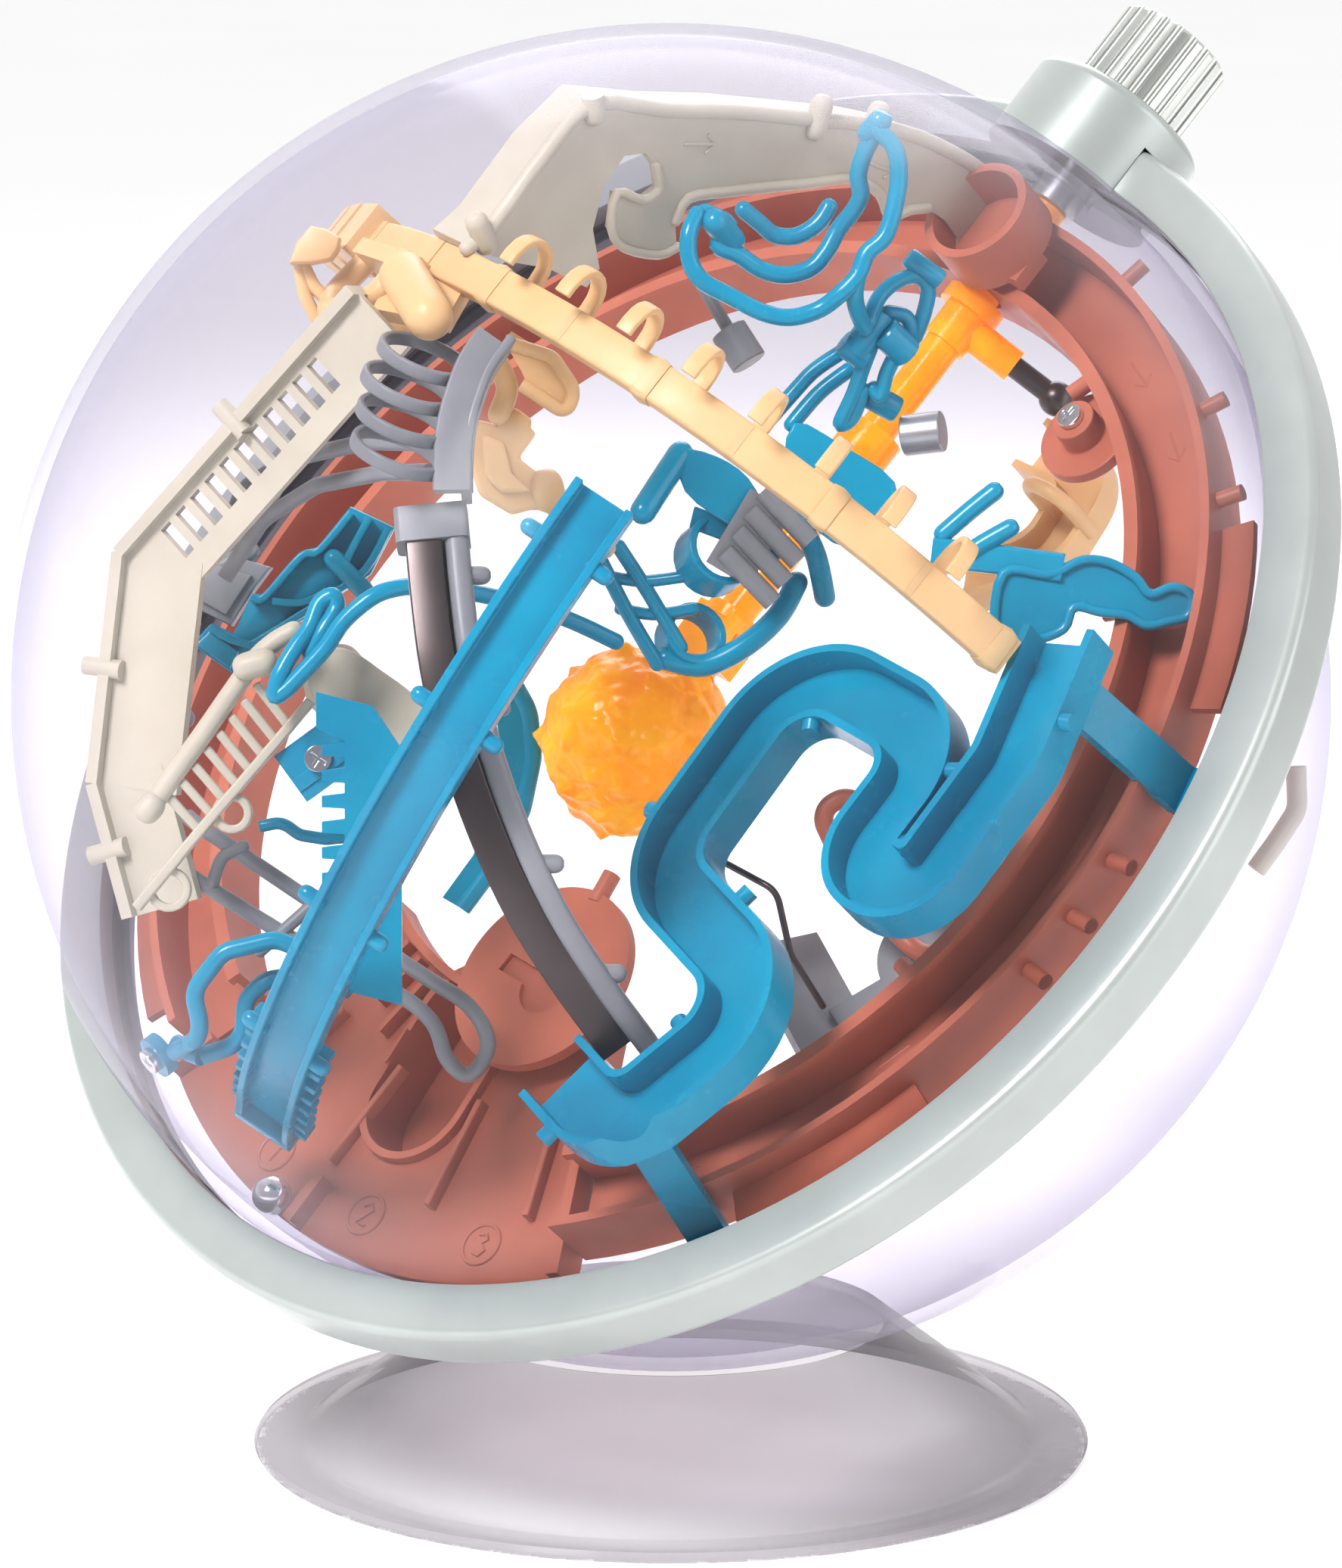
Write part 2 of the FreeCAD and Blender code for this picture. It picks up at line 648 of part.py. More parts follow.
def make_loop_frame():
    """Two open loops of terracotta rod on the ring's inner wall."""
    line = [
        (-12, -76.5, -3), (-14, -66, -6), (-12, -55, 0), (-6, -47, 8),
        (-1, -49, 7), (-6, -60, -1), (-7, -77, -3),
    ]
    return add_shape("loop_frame", rod(line, 1.4, 6.0))


# ---- Blue pieces --------------------------------------------------------------------------------

SERPENT_BEND = 11.0
SERPENT = [
    (-59.5, -52.0), (-62.5, -67.5), (-35.0, -77.0), (-28.0, -43.5), (8.5, -42.0),
    (8.0, -73.0), (-13.5, -73.0), (-13.5, -86.0), (10.0, -85.5), (29.5, -79.0),
]


def make_serpent():
    """The serpentine track, level with the band, on three struts down to the main ring."""
    low = size("track_low")
    channel = trough(SERPENT, SERPENT_BEND, size("track_w"), size("track_wall"), low, size("track_high"))
    left = bar((-59, -66.5, low + 0.5), (-64, -69.3, -3), 6.0, 1.8, (-0.66, -0.72, 0.15))
    left_lip = bar((-63.5, -68.8, -3), (-65.3, -70.7, -3), 6.0, 1.6, (0, 0, 1))
    right = bar((23.5, -83.0, low + 0.5), (24, -90.6, -3), 7.0, 1.8, (0.25, -0.96, 0.1))
    right_lip = bar((24, -90.0, -3), (24.6, -92.6, -3), 7.0, 1.6, (0, 0, 1))
    struts = joined([left, left_lip, right, right_lip]).cut(ring_cutter())
    places = (4, -15, 27, -38, 52, -66, -80, 93)
    pegs = edge_pegs(SERPENT, SERPENT_BEND, size("track_w"), size("track_high") - 1.6, places)
    inside = Part.makeSphere(97.4)
    return add_shape("serpentine_track", joined([channel, struts] + pegs).common(inside))


def edge_pegs(points, bend, half, height, places):
    """Pegs on a track's side walls; a place is a percentage along the track, its sign the side."""
    path = rounded_wire([(x, y, height) for x, y in points], bend)
    steps = path.discretize(Number=101)
    pegs = []
    for place in places:
        here = steps[abs(place)]
        along = (steps[abs(place) + 1] - steps[abs(place) - 1]).normalize()
        side = along.cross(Vector(0, 0, 1 if place > 0 else -1))
        pegs.append(Part.makeCylinder(1.3, 2.6, here + side * (half - 0.8), side))
    return pegs


def ring_cutter():
    """Room for the main ring's walls and floor, a hair larger than the ring."""
    gap = 0.05
    inner = size("ring_in") - gap
    outer = size("ring_out") + gap
    wall = size("ring_wall") + 2 * gap
    low = size("ring_low")
    walls = sector(inner, inner + wall + 0.8, 0, 360, low, size("ring_top") + gap)
    walls = walls.fuse(sector(outer - wall, outer, 0, 360, low, size("ring_top") + gap))
    return walls.fuse(sector(inner, outer, 0, 360, low - gap, low + 1.6 + gap))


LONG_AXIS = (0.051, -0.778, -0.627)
LONG_OFFSET = -12.0
LONG_SWEEP = 88.0


def make_long_channel():
    """The long channel that hugs the shell, an arc about an axis through the globe's middle."""
    axis = Vector(*LONG_AXIS).normalize()
    middle = axis * LONG_OFFSET
    start = Vector(3, -40, 69) - middle
    start = start - axis * start.dot(axis)
    section = [
        (80.5, -4.6), (89.0, -4.6), (89.0, -3.4), (81.8, -3.4),
        (81.8, 3.4), (89.0, 3.4), (89.0, 4.6), (80.5, 4.6),
    ]
    channel = arc_section(section, middle, axis, start, LONG_SWEEP)
    pegs = []
    for turn in (6, 24, 47, 70, 86):
        way = FreeCAD.Rotation(axis, turn).multVec(start).normalize()
        pegs.append(Part.makeCylinder(1.3, 12.4, middle + way * 87.0 - axis * 6.2, axis))
    hollow = arc_section([(81.8, -3.4), (95, -3.4), (95, 3.4), (81.8, 3.4)], middle, axis, start, LONG_SWEEP)
    return add_shape("long_channel", joined([channel] + [p.cut(hollow) for p in pegs]))


def make_comb():
    """A toothed panel that stands beside the long channel."""
    teeth = []
    count = 9
    for i in range(count):
        y = -5.0 - 3.6 * i
        teeth += [(-4.0, y), (-7.2, y - 0.4), (-7.2, y - 2.0), (-4.0, y - 2.2)]
    outline = [(0, 0), (-8, 2), (-8, -3)] + teeth + [(-4, -40), (4, -42), (4, -6)]
    panel = plate(outline, (-34, -12, 56), LEAN_ACROSS, LEAN_FACING, 1.6)
    return add_shape("comb_panel", panel, ["long_channel"])


def make_top_loops():
    """Three loops of blue rod that hang from the top arc's edge."""
    first = [(75, -20, 52), (69, -20, 53), (64, -21, 49), (57, -24, 46), (51, -24, 46), (45, -20, 48),
             (42, -14, 54), (43, -10, 59), (47, -8, 61), (55, -12, 59)]
    second = [(75, -20, 52), (72, -24, 49), (66, -24, 47), (59, -24, 46), (55, -27, 43), (54, -30, 38)]
    third = [(53, -10, 60), (50, -12, 57), (51, -15, 54), (56, -20, 51), (63, -21, 52), (69, -20, 53)]
    radius = size("wire_r") + 0.1
    return add_shape("top_loops", joined([rod(line, radius, 4.0) for line in (first, second, third)]))


def make_ring_cage():
    """Round hoops and a barrel on a blue arm beside the shaft."""
    hoops = [
        hoop((61, -17, 28), (0.2, 0.6, 0.7), 6.5, 1.2),
        hoop((57, -19, 24), (0.8, 0.3, -0.4), 5.2, 1.1),
    ]
    barrel = tube((50, -17, 24), (0.9, -0.2, 0.3), 2.6, 0, 11)
    arm = rod([(54, -30, 38), (55, -22, 31), (53, -17, 26), (44, -20, 20), (38, -21, 17)], 1.5, 4.0)
    cross = rod([(64, -10, 30), (68, -16, 30), (70, -22, 27)], 1.6, 3.0)
    lower = rod([(52, -16, 25), (46, -9, 27), (40, -12, 24), (36, -15, 22)], 1.2, 3.0)
    whole = joined(hoops + [barrel, arm, cross, lower])
    return add_shape("ring_cage", whole, ["top_loops", "centre_bracket"])


def make_centre_bracket():
    """Blue plates in the middle that carry the grey link."""
    parts = [
        bar((12, -5, 35), (27, -10, 33), 8.0, 2.4, (0.2, -0.7, 0.7)),
        bar((15, -7, 33), (10, -16, 24), 9.0, 2.4, (-0.5, -0.6, 0.6)),
        bar((25, -9, 34), (32, -19, 24), 9.0, 2.4, (0.8, -0.3, 0.5)),
        bar((31, -18, 25), (39, -22, 17), 8.0, 2.4, (0.7, -0.6, 0.4)),
        tube((6, -15, 21), (0.3, -0.75, 0.6), 5.2, 3.6, 5.0),
    ]
    return add_shape("centre_bracket", joined(parts))


def make_left_bracket():
    """Stepped blue channel blocks on the left."""
    parts = [
        bar((-33, 30, 46), (-10, 25, 46), 8.0, 2.0, (-0.1, -0.7, 0.7)),
        bar((-33, 27, 49), (-10, 22, 49), 1.6, 6.0, (-0.1, -0.7, 0.7)),
        bar((-33, 33, 43), (-10, 28, 43), 1.6, 6.0, (-0.1, -0.7, 0.7)),
        bar((-30, 34, 41), (-30, 24, 50), 5.0, 3.4, (-0.1, -0.7, 0.7)),
        bar((-16, 32, 40), (-16, 22, 49), 4.0, 3.4, (-0.1, -0.7, 0.7)),
    ]
    return add_shape("left_bracket", joined(parts), ["left_housing"])


def make_curl_wire():
    """A blue rod that curls back on itself between the bracket and the middle."""
    line = [
        (7, 16, 33), (0, 20, 34), (-12, 24, 36), (-27, 24, 43),
        (-33, 20, 48), (-29, 16, 49), (-20, 19, 44),
    ]
    return add_shape("curl_wire", rod(line, 1.6, 5.0), ["left_bracket", "left_housing"])


def make_platform_arches():
    """Two blue rods that arch over the start platform, with a screw tab at their end."""
    first = [(-88, 3, 32), (-84, -4, 36), (-80, -1, 40), (-73, -2, 41), (-67, -6, 38), (-65, -11, 33)]
    second = [(-86, 0, 30), (-81, -4, 29), (-76, -2, 32), (-72, -3, 32), (-67, -7, 29), (-66, -12, 26)]
    tab = tube((-88.5, 6.5, 30.5), (-0.9, 0.0, 0.35), 3.2, 0, 2.0)
    link = rod([(-87, 5, 31), (-86, 0, 30)], 1.6, 2.0)
    shapes = [rod(first, 1.3, 4.0), rod(second, 1.3, 4.0), tab, link]
    return add_shape("platform_arches", joined(shapes))


def make_screw_tab():
    """A small blue tab with a screw seat, low on the left."""
    facing = LEAN_FACING
    parts = [
        bar((-48, -1.5, 50.5), (-39, -5.5, 50.5), 8.0, 2.0, facing),
        bar((-47.5, -1, 48), (-39, -5, 48), 2.0, 7.0, facing),
    ]
    return add_shape("screw_tab", joined(parts), ["long_channel"])


def make_right_tongue():
    """The blue tongue that dips into the main ring on the right, with a curled end and a fork."""
    tongue = [
        (52.8, 16.8), (54.9, 17.6), (58.2, 19.2), (61.9, 18.9), (65.7, 16.8), (67.8, 14.1), (72.1, 15.7),
        (73.8, 14.1), (73.4, 11.4), (70.5, 10.6), (67.3, 10.0), (64.6, 11.4), (60.8, 11.7), (56.0, 13.0),
    ]
    ramp = [(47.0, 17.0), (52.8, 16.8), (56.0, 13.0), (55.5, 9.5), (51.0, 8.0), (46.0, 9.0)]
    parts = [
        lean_plate(tongue, 45.0, 2.4),
        lean_plate(ramp, 44.4, 2.4),
        rod([(35, -47, 22), (44, -50, 22)], 1.3, 2.0),
        rod([(32, -50, 20), (41, -54, 19)], 1.3, 2.0),
        bar((33, -48, 21), (40, -60, 13), 4.0, 2.4, LEAN_FACING),
    ]
    return add_shape("right_tongue", joined(parts).cut(ring_cutter()), ["serpentine_track"])


def make_back_scoop():
    """The dark curved scoop behind the boulder."""
    outer = [(-24.6, 3.6), (-21.4, -2.1), (-20.8, -9.0), (-22.5, -17.0), (-26.5, -25.0), (-31.6, -31.8)]
    inner = [(-34.5, -30.1), (-29.9, -23.8), (-26.5, -15.8), (-25.4, -9.0), (-26.5, -2.1), (-28.2, 2.4)]
    floor = lean_plate(outer + inner, -10.0, 1.8)
    rim = lean_rod(outer, -9.0, 1.4, 8.0)
    return add_shape("back_scoop", joined([floor, rim]))


def make_twist_wire():
    """A short blue wire that reaches left from under the comb panel."""
    line = [(-59.5, -18.6), (-56.2, -17.9), (-53.7, -19.8), (-49.9, -20.4), (-46.1, -20.0)]
    return add_shape("twist_wire", lean_rod(line, 30.0, 0.9, 3.0))


# ---- Cream pieces -------------------------------------------------------------------------------

def rail_way(angle):
    return Vector(0, -cos(radians(angle)), sin(radians(angle)))


def make_arc_rail():
    """A flat arc rail that hugs the shell, with a row of hoops along its edge."""
    side = size("rail_x")
    reach = sqrt(size("rail_r") ** 2 - side ** 2)
    middle = (side, 0, 0)
    first = rail_way(19)
    section = [(reach - 3.2, -2.9), (reach, -2.9), (reach, 2.9), (reach - 3.2, 2.9)]
    strip = arc_section(section, middle, (1, 0, 0), first, -91)
    pieces = [strip]
    count = int(size("hoops"))
    for i in range(count):
        angle = 30 + 7.6 * i
        way = rail_way(angle)
        centre = Vector(side + 4.6, 0, 0) + way * (reach + 2.4)
        along = Vector(1, 0, 0).cross(way)
        ring = Part.makeTorus(size("hoop_r"), 0.95, centre, along)
        pieces.append(ring)
    for angle in (22, 44, 66, 88):
        way = rail_way(angle)
        section = [(reach - 3.8, -3.5), (reach + 0.7, -3.5), (reach + 0.7, 3.5), (reach - 3.8, 3.5)]
        pieces.append(arc_section(section, middle, (1, 0, 0), way, -2.6))
    return add_shape("arc_rail", joined(pieces))


def make_crest():
    """The cream crest where the arc rail ends: a row of blocks, a thumb and a looped tongue."""
    side = size("rail_x")
    reach = sqrt(size("rail_r") ** 2 - side ** 2)
    middle = (side, 0, 0)
    strip = [(reach - 3.0, -2.9), (reach, -2.9), (reach, 2.9), (reach - 3.0, 2.9)]
    block = [(reach - 4.5, -4.2), (reach + 2.2, -4.2), (reach + 2.2, 4.2), (reach - 4.5, 4.2)]
    parts = [arc_section(strip, middle, (1, 0, 0), rail_way(110.2), -15)]
    for angle, width in ((111.5, 4.5), (117.5, 3.5), (122.5, 3.0)):
        parts.append(arc_section(block, middle, (1, 0, 0), rail_way(angle), -width))
    thumb_end = Vector(12.5, -3, 84.5)
    thumb = Vector(0.35, 1, -0.1).normalize()
    parts.append(Part.makeCylinder(3.4, 13.0, thumb_end, thumb))
    parts.append(Part.makeSphere(3.4, thumb_end))
    parts.append(rod([(22, 28, 74), (12, 30, 74), (8, 22, 79), (12, 12, 82), (20, 12, 82)], 1.8, 4.0))
    parts.append(bar((12, 5, 80), (20, 8, 79), 12.0, 2.6, (-0.2, -0.3, 0.9)))
    parts.append(bar((19, 8, 80), (19, 26, 76), 6.0, 2.6, (1, 0, 0)))
    whole = joined(parts).common(Part.makeSphere(97.2))
    return add_shape("crest", whole, ["ladder_track", "drop_hoops", "top_arc_track", "arc_rail"])


def make_crest_tray():
    """The cream tray that hangs under the crest's end of the arc rail."""
    floor = [
        (-22.7, 52.1), (-16.8, 48.4), (-13.6, 43.6), (-14.9, 40.2),
        (-19.4, 42.1), (-21.3, 46.5), (-23.7, 50.6),
    ]
    rim = [(-23.7, 50.6), (-16.8, 48.4), (-13.6, 43.6), (-14.9, 40.2), (-21.3, 44.5)]
    parts = [lean_plate(floor, 40.0, 1.4), lean_rod(rim, 41.5, 1.0, 3.0)]
    return add_shape("crest_tray", joined(parts), ["drop_hoops", "top_arc_track", "arc_rail", "crest"])


def make_crest_tongue():
    """The cream pad below the crest."""
    pad = [(-42.1, 55.0), (-36.8, 56.1), (-34.9, 52.3), (-39.0, 49.7), (-42.8, 49.3), (-44.0, 52.3)]
    solid = largest(lean_plate(pad, 33.0, 4.0).cut(LOCAL["ladder_track"]))
    return add_shape("crest_tongue", solid, ["crest"])


def make_crest_loop():
    """The cream blocks and the thin loop at the crest's far end."""
    loop = [
        (-53.4, 63.0), (-51.6, 59.5), (-49.9, 57.6), (-47.2, 53.2),
        (-48.4, 51.5), (-50.7, 54.1), (-52.8, 58.3),
    ]
    block = [(-51.8, 67.8), (-47.5, 66.1), (-48.8, 63.0), (-54.8, 62.4)]
    parts = [
        lean_rod(loop, 30.0, 1.0, 2.0, True),
        lean_plate(block, 28.0, 6.0),
    ]
    whole = joined(parts).common(Part.makeSphere(97.2))
    return add_shape("crest_loop", whole, ["ladder_track", "crest"])


def make_cream_clips():
    """Small cream clips between the crest and the middle."""
    facing = LEAN_FACING
    parts = [
        bar((11, 23, 56), (13, 14, 48), 5.0, 3.0, facing),
        bar((10, 15, 47), (16, 12, 45), 4.0, 4.0, facing),
        bar((13, 15, 49), (11, 6, 38), 3.0, 3.0, facing),
        bar((11, 7, 39), (17, 1, 34), 4.0, 2.6, facing),
        rod([(16, 2, 35), (20, 4, 36), (22, 10, 40)], 1.2, 3.0),
    ]
    return add_shape("cream_clips", joined(parts), ["centre_bracket"])


def make_back_curve():
    """The cream curved track low on the dial's side."""
    points = [(66, -8), (66, -22), (50, -24), (42, -12)]
    track = trough(points, 9.0, 4.6, 1.2, -24, -19)
    arch = rod([(58, -18.6, -22), (58, -18.6, -12), (58, -27.4, -12), (58, -27.4, -22)], 1.2, 4.0)
    return add_shape("back_curve", joined([track, arch]))


# ---- Sand-coloured pieces -----------------------------------------------------------------------

LADDER_FACING = (-0.411, -0.449, 0.793)


def make_ladder():
    """The ladder track: a flanged plate with a row of slots, bent twice to hug the shell."""
    start = Vector(11, 12, 85.5)
    corner = Vector(-36, 32, 73)
    elbow = Vector(-64, 25, 56)
    end = Vector(-76, 15, 43.5)
    facing = Vector(*LADDER_FACING).normalize()
    parts = []
    for here, there, wide in ((start, corner, 11.5), (corner, elbow, 13.0), (elbow, end, 11.0)):
        along = (there - here).normalize()
        inward = facing.cross(along)
        middle_a = here + inward * (wide / 2)
        middle_b = there + inward * (wide / 2)
        parts.append(bar(tuple(middle_a), tuple(middle_b), wide, 1.6, facing))
        parts.append(bar(tuple(here), tuple(there), 1.8, 5.0, facing))
        peg_start = (here + there) * 0.5 + facing * 1.5 - inward * 3.5
        parts.append(Part.makeCylinder(1.4, 6.0, peg_start, inward))
    solid = joined(parts)
    along = (corner - start).normalize()
    inward = facing.cross(along)
    slots = []
    count = 11
    for i in range(count):
        middle = start + along * (12.0 + 3.3 * i) + inward * 2.2 - facing * 3
        slots.append(bar(tuple(middle), tuple(middle + inward * 5.6), 1.9, 12.0, facing))
    return add_shape("ladder_track", solid.cut(slots[0].fuse(slots[1:])))


def make_small_ladder():
    """The short slotted plate below the ladder track."""
    facing = LEAN_FACING
    start = Vector(-33, 5, 56)
    end = Vector(-60, 9, 54)
    along = (end - start).normalize()
    inward = facing.cross(along)
    solid = joined([
        bar(tuple(start), tuple(end), 9.0, 1.6, facing),
        bar(tuple(start - inward * 4.5), tuple(end - inward * 4.5), 1.6, 4.5, facing),
        bar(tuple(start + inward * 4.5), tuple(end + inward * 4.5), 1.6, 4.5, facing),
    ])
    slots = []
    for i in range(6):
        middle = start + along * (6.0 + 3.3 * i) - inward * 2.8 - facing * 3
        slots.append(bar(tuple(middle), tuple(middle + inward * 5.6), 1.9, 12.0, facing))
    return add_shape("small_ladder", solid.cut(slots[0].fuse(slots[1:])))


TOP_ARC_EDGE = [(27, 80.5), (51, 79), (60, 68.5), (68, 57.5), (75.5, 46), (81, 35), (85, 24), (86.5, 16.5)]
TOP_ARC_INSIDE = [(79, 16.5), (76.5, 24), (71.5, 33), (64.5, 42), (57, 49), (52, 52), (47, 49.5), (47.5, 58),
                  (53, 66), (49, 69), (44, 64), (37, 62), (26, 73)]


def make_top_arc():
    """The flanged arc track from the crest over to the dial cup: an upright web and a top flange."""
    web = plate(TOP_ARC_EDGE + TOP_ARC_INSIDE, (0, 4.6, 0), (1, 0, 0), (0, -1, 0), 1.6)
    parts = [web]
    for (x1, z1), (x2, z2) in zip(TOP_ARC_EDGE, TOP_ARC_EDGE[1:]):
        parts.append(bar((x1, 6.0, z1), (x2, 6.0, z2), 8.0, 1.8, (z1 - z2, 0, x2 - x1)))
    for (x1, z1), (x2, z2) in zip(TOP_ARC_INSIDE[:5], TOP_ARC_INSIDE[1:6]):
        parts.append(bar((x1, 3.0, z1), (x2, 3.0, z2), 3.4, 1.6, (z1 - z2, 0, x2 - x1)))
    for x, z in ((51, 79), (75.5, 46), (81, 35), (27.5, 80)):
        way = Vector(x, 0, z).normalize()
        parts.append(Part.makeCylinder(1.5, 4.0, Vector(x, 3.5, z) - way, way))
    return add_shape("top_arc_track", joined(parts).common(Part.makeSphere(97.3)))


def make_sand_arm():
    """The tapered arm between the small ladder and the slide rail."""
    outline = [
        (-48.3, 7.7), (-35.9, -6.3), (-40.5, -5.1), (-43.3, -0.9),
        (-48.3, -5.7), (-53.6, -0.9), (-54.5, 3.6),
    ]
    ridge = [(-54.0, 3.2), (-48.3, 7.7), (-35.9, -6.3)]
    parts = [lean_plate(outline, 11.0, 1.6), lean_rod(ridge, 12.6, 1.0, 2.0)]
    return add_shape("sand_arm", joined(parts), ["left_bracket", "curl_wire", "left_housing"])


def make_rear_hook():
    """The hook that hugs the rear shell."""
    line = [(90.7, -10.1), (90.9, -16.5), (87.6, -21.5), (84.8, -25.3)]
    return add_shape("rear_hook", lean_rod(line, 25.0, 1.5, 4.0))


# ---- Grey and dark pieces -----------------------------------------------------------------------

SLIDE_HEADING = -135.0
SLIDE_SPAN = (19.0, 76.0)


def slide_way(angle):
    flat = cos(radians(angle))
    heading = radians(SLIDE_HEADING)
    return Vector(flat * cos(heading), flat * sin(heading), sin(radians(angle)))


def slide_arc(corners, begin, end):
    heading = radians(SLIDE_HEADING)
    axis = Vector(sin(heading), -cos(heading), 0)
    return arc_section(corners, (0, 0, 0), axis, slide_way(begin), end - begin)


def make_slide_rail():
    """The grey side rail that carries the steel strip, with pegs along it."""
    section = [(73.0, 2.6), (79.5, 2.6), (79.5, 5.6), (77.5, 5.6), (77.5, 4.0), (73.0, 4.0)]
    base = [(73.0, -2.6), (74.4, -2.6), (74.4, 3.2), (73.0, 3.2)]
    parts = [slide_arc(section, *SLIDE_SPAN), slide_arc(base, *SLIDE_SPAN)]
    heading = radians(SLIDE_HEADING)
    axis = Vector(sin(heading), -cos(heading), 0)
    for angle in (26, 38, 52, 66):
        parts.append(Part.makeCylinder(1.3, 3.0, slide_way(angle) * 75.6 + axis * 3.4, axis))
    return add_shape("slide_rail", joined(parts))


def make_slide_strip():
    """The dark steel strip that the ball rides on."""
    section = [(74.5, -2.5), (77.5, -2.5), (77.5, 2.5), (74.5, 2.5)]
    return add_shape("slide_strip", slide_arc(section, SLIDE_SPAN[0], SLIDE_SPAN[1] - 1))


def make_drop_hoops():
    """Four open hoops stacked beside a chute, above the slide rail."""
    middles = [(8, -3, 83), (3, -5.5, 83.5), (-2, -9, 83), (-6.5, -13, 81.5)]
    hoops = [hoop(middle, (0.75, 0.35, 0.35), 5.0, 1.1) for middle in middles]
    chute = bar((12, -11, 79), (-10, -19, 76), 8.0, 2.0, (0.2, -0.75, 0.6))
    post = bar((11, -13, 82), (-9, -20, 79), 2.2, 5.0, (0.2, -0.75, 0.6))
    return add_shape("drop_hoops", joined(hoops + [chute, post]).common(Part.makeSphere(97.0)))


def make_twin_rods():
    """Paired grey rods joined by a U bend."""
    line = [
        (-58, 14, 49), (-61, 4, 37), (-62, -9, 23), (-65, -21, 9),
        (-60, -23, 9), (-57, -15, 17), (-57, -6, 26), (-58, 10, 44),
    ]
    bridge = rod([(-60, 7, 40), (-57, 4, 38)], 0.9, 1.0)
    return add_shape("twin_rods", joined([rod(line, 1.1, 4.0), bridge]))


def make_arc_wires():
    """Two grey rods that arch from the ladder track to the drop hoops."""
    first = [(-26, 26, 65), (-18, 26, 68), (-11, 20, 69), (-4, 8, 70), (-1, -2, 71)]
    second = [(-30, 24, 62), (-20, 23, 64), (-12, 17, 65), (-6, 6, 66), (-3, -3, 67)]
    bridge = rod([(-22, 25, 67), (-25, 24, 63.3)], 0.9, 1.0)
    return add_shape("arc_wires", joined([rod(first, 1.2, 5.0), rod(second, 1.2, 5.0), bridge]))


def make_left_housing():
    """Grey clutter behind the ladder: a stepped housing on the left."""
    parts = [
        bar((-32, 40, 44), (-14, 38, 48), 12.0, 4.0, (-0.1, -0.7, 0.7)),
        bar((-42, 38, 40), (-32, 40, 44), 9.0, 5.0, (-0.1, -0.7, 0.7)),
        bar((-50, 36, 34), (-42, 38, 40), 7.0, 4.0, (-0.1, -0.7, 0.7)),
    ]
    return add_shape("left_housing", joined(parts))


def make_rear_panel():
    """A grey post and a round cap low behind the serpentine track."""
    parts = [
        bar((-22, -38, -12), (-32, -64, -9), 11.0, 2.4, (0.5, -0.2, 0.85)),
        tube((-12, -62, -16), (0.2, -0.3, 0.93), 9.0, 0, 2.5),
        bar((-14, -66, -15), (-8, -74, -14), 10.0, 2.4, (0.1, -0.2, 0.95)),
        bar((-28, -58, -10), (-14, -62, -14), 4.0, 2.4, (0.1, -0.2, 0.95)),
    ]
    return add_shape("rear_panel", joined(parts))


def make_link():
    """The grey link that closes the middle bracket: three ribs on a block."""
    parts = [bar((14, -22, 27), (26, -22, 29), 7.0, 3.0, (0.1, -0.72, 0.68))]
    for i in range(4):
        start = Vector(14.5 + 3.4 * i, -28.5, 22.5 + 0.5 * i)
        parts.append(Part.makeCylinder(1.5, 10.0, start, Vector(0.15, 0.68, 0.72)))
    return add_shape("grey_link", joined(parts), ["centre_bracket"])


def make_post_cap():
    """A grey cap on a thin post behind the arc rail."""
    cap = tube((44.0, 2.0, 27.0), (0.35, 0.7, 0.6), 2.8, 0, 6.0)
    post = rod([(45.5, 5.0, 29.5), (50, 14, 34)], 1.0, 1.0)
    return add_shape("post_cap", joined([cap, post]))


def make_silver_cap():
    """A turned metal cap on the ring cage's arm."""
    return add_shape("silver_cap", tube((47.0, -23.5, 17.5), (0.62, -0.75, -0.25), 3.0, 0, 6.0))


def make_dark_wire():
    """A thin dark wire behind the serpentine track."""
    line = [(-20, -42, 12), (-19, -50, 8), (-25, -55, 3), (-28, -60, -4)]
    return add_shape("dark_wire", rod(line, 0.5, 4.0))


def make_screws():
    """The screws that hold the pieces, one solid each."""
    screws = []
    for base, way in (
        ((-90.4, 6.5, 31.25), (-0.9, 0.0, 0.35)),
        ((64.5, -35.5, 4.05), (0, 0, 1)),
        ((-43.7, -4.4, 51.4), LEAN_FACING),
    ):
        axis = Vector(*way).normalize()
        head = Part.makeCylinder(1.9, 1.2, Vector(*base), axis)
        slot = Part.makeBox(0.5, 2.6, 0.6, Vector(-0.25, -1.3, 0.7))
        cross = joined([slot, slot.copy().rotate(Vector(0, 0, 0), Vector(0, 0, 1), 90)])
        cross.Placement = FreeCAD.Placement(Vector(*base), FreeCAD.Rotation(Vector(0, 0, 1), axis))
        screws.append(head.cut(cross))
    return add_shape("screws", Part.makeCompound(screws), ["screw_tab", "screw_boss", "platform_arches"])


def make_ball():
    """The steel ball, on the start platform against the shell."""
    centre_r = size("globe_r") - size("wall") - size("ball_r") - 0.3
    up = PLATFORM_TOP + size("ball_r") + 0.3
    flat = sqrt(centre_r ** 2 - up ** 2)
    angle = radians(177.6)
    middle = Vector(flat * cos(angle), flat * sin(angle), up)
    return add_shape("steel_ball", Part.makeSphere(size("ball_r"), middle))


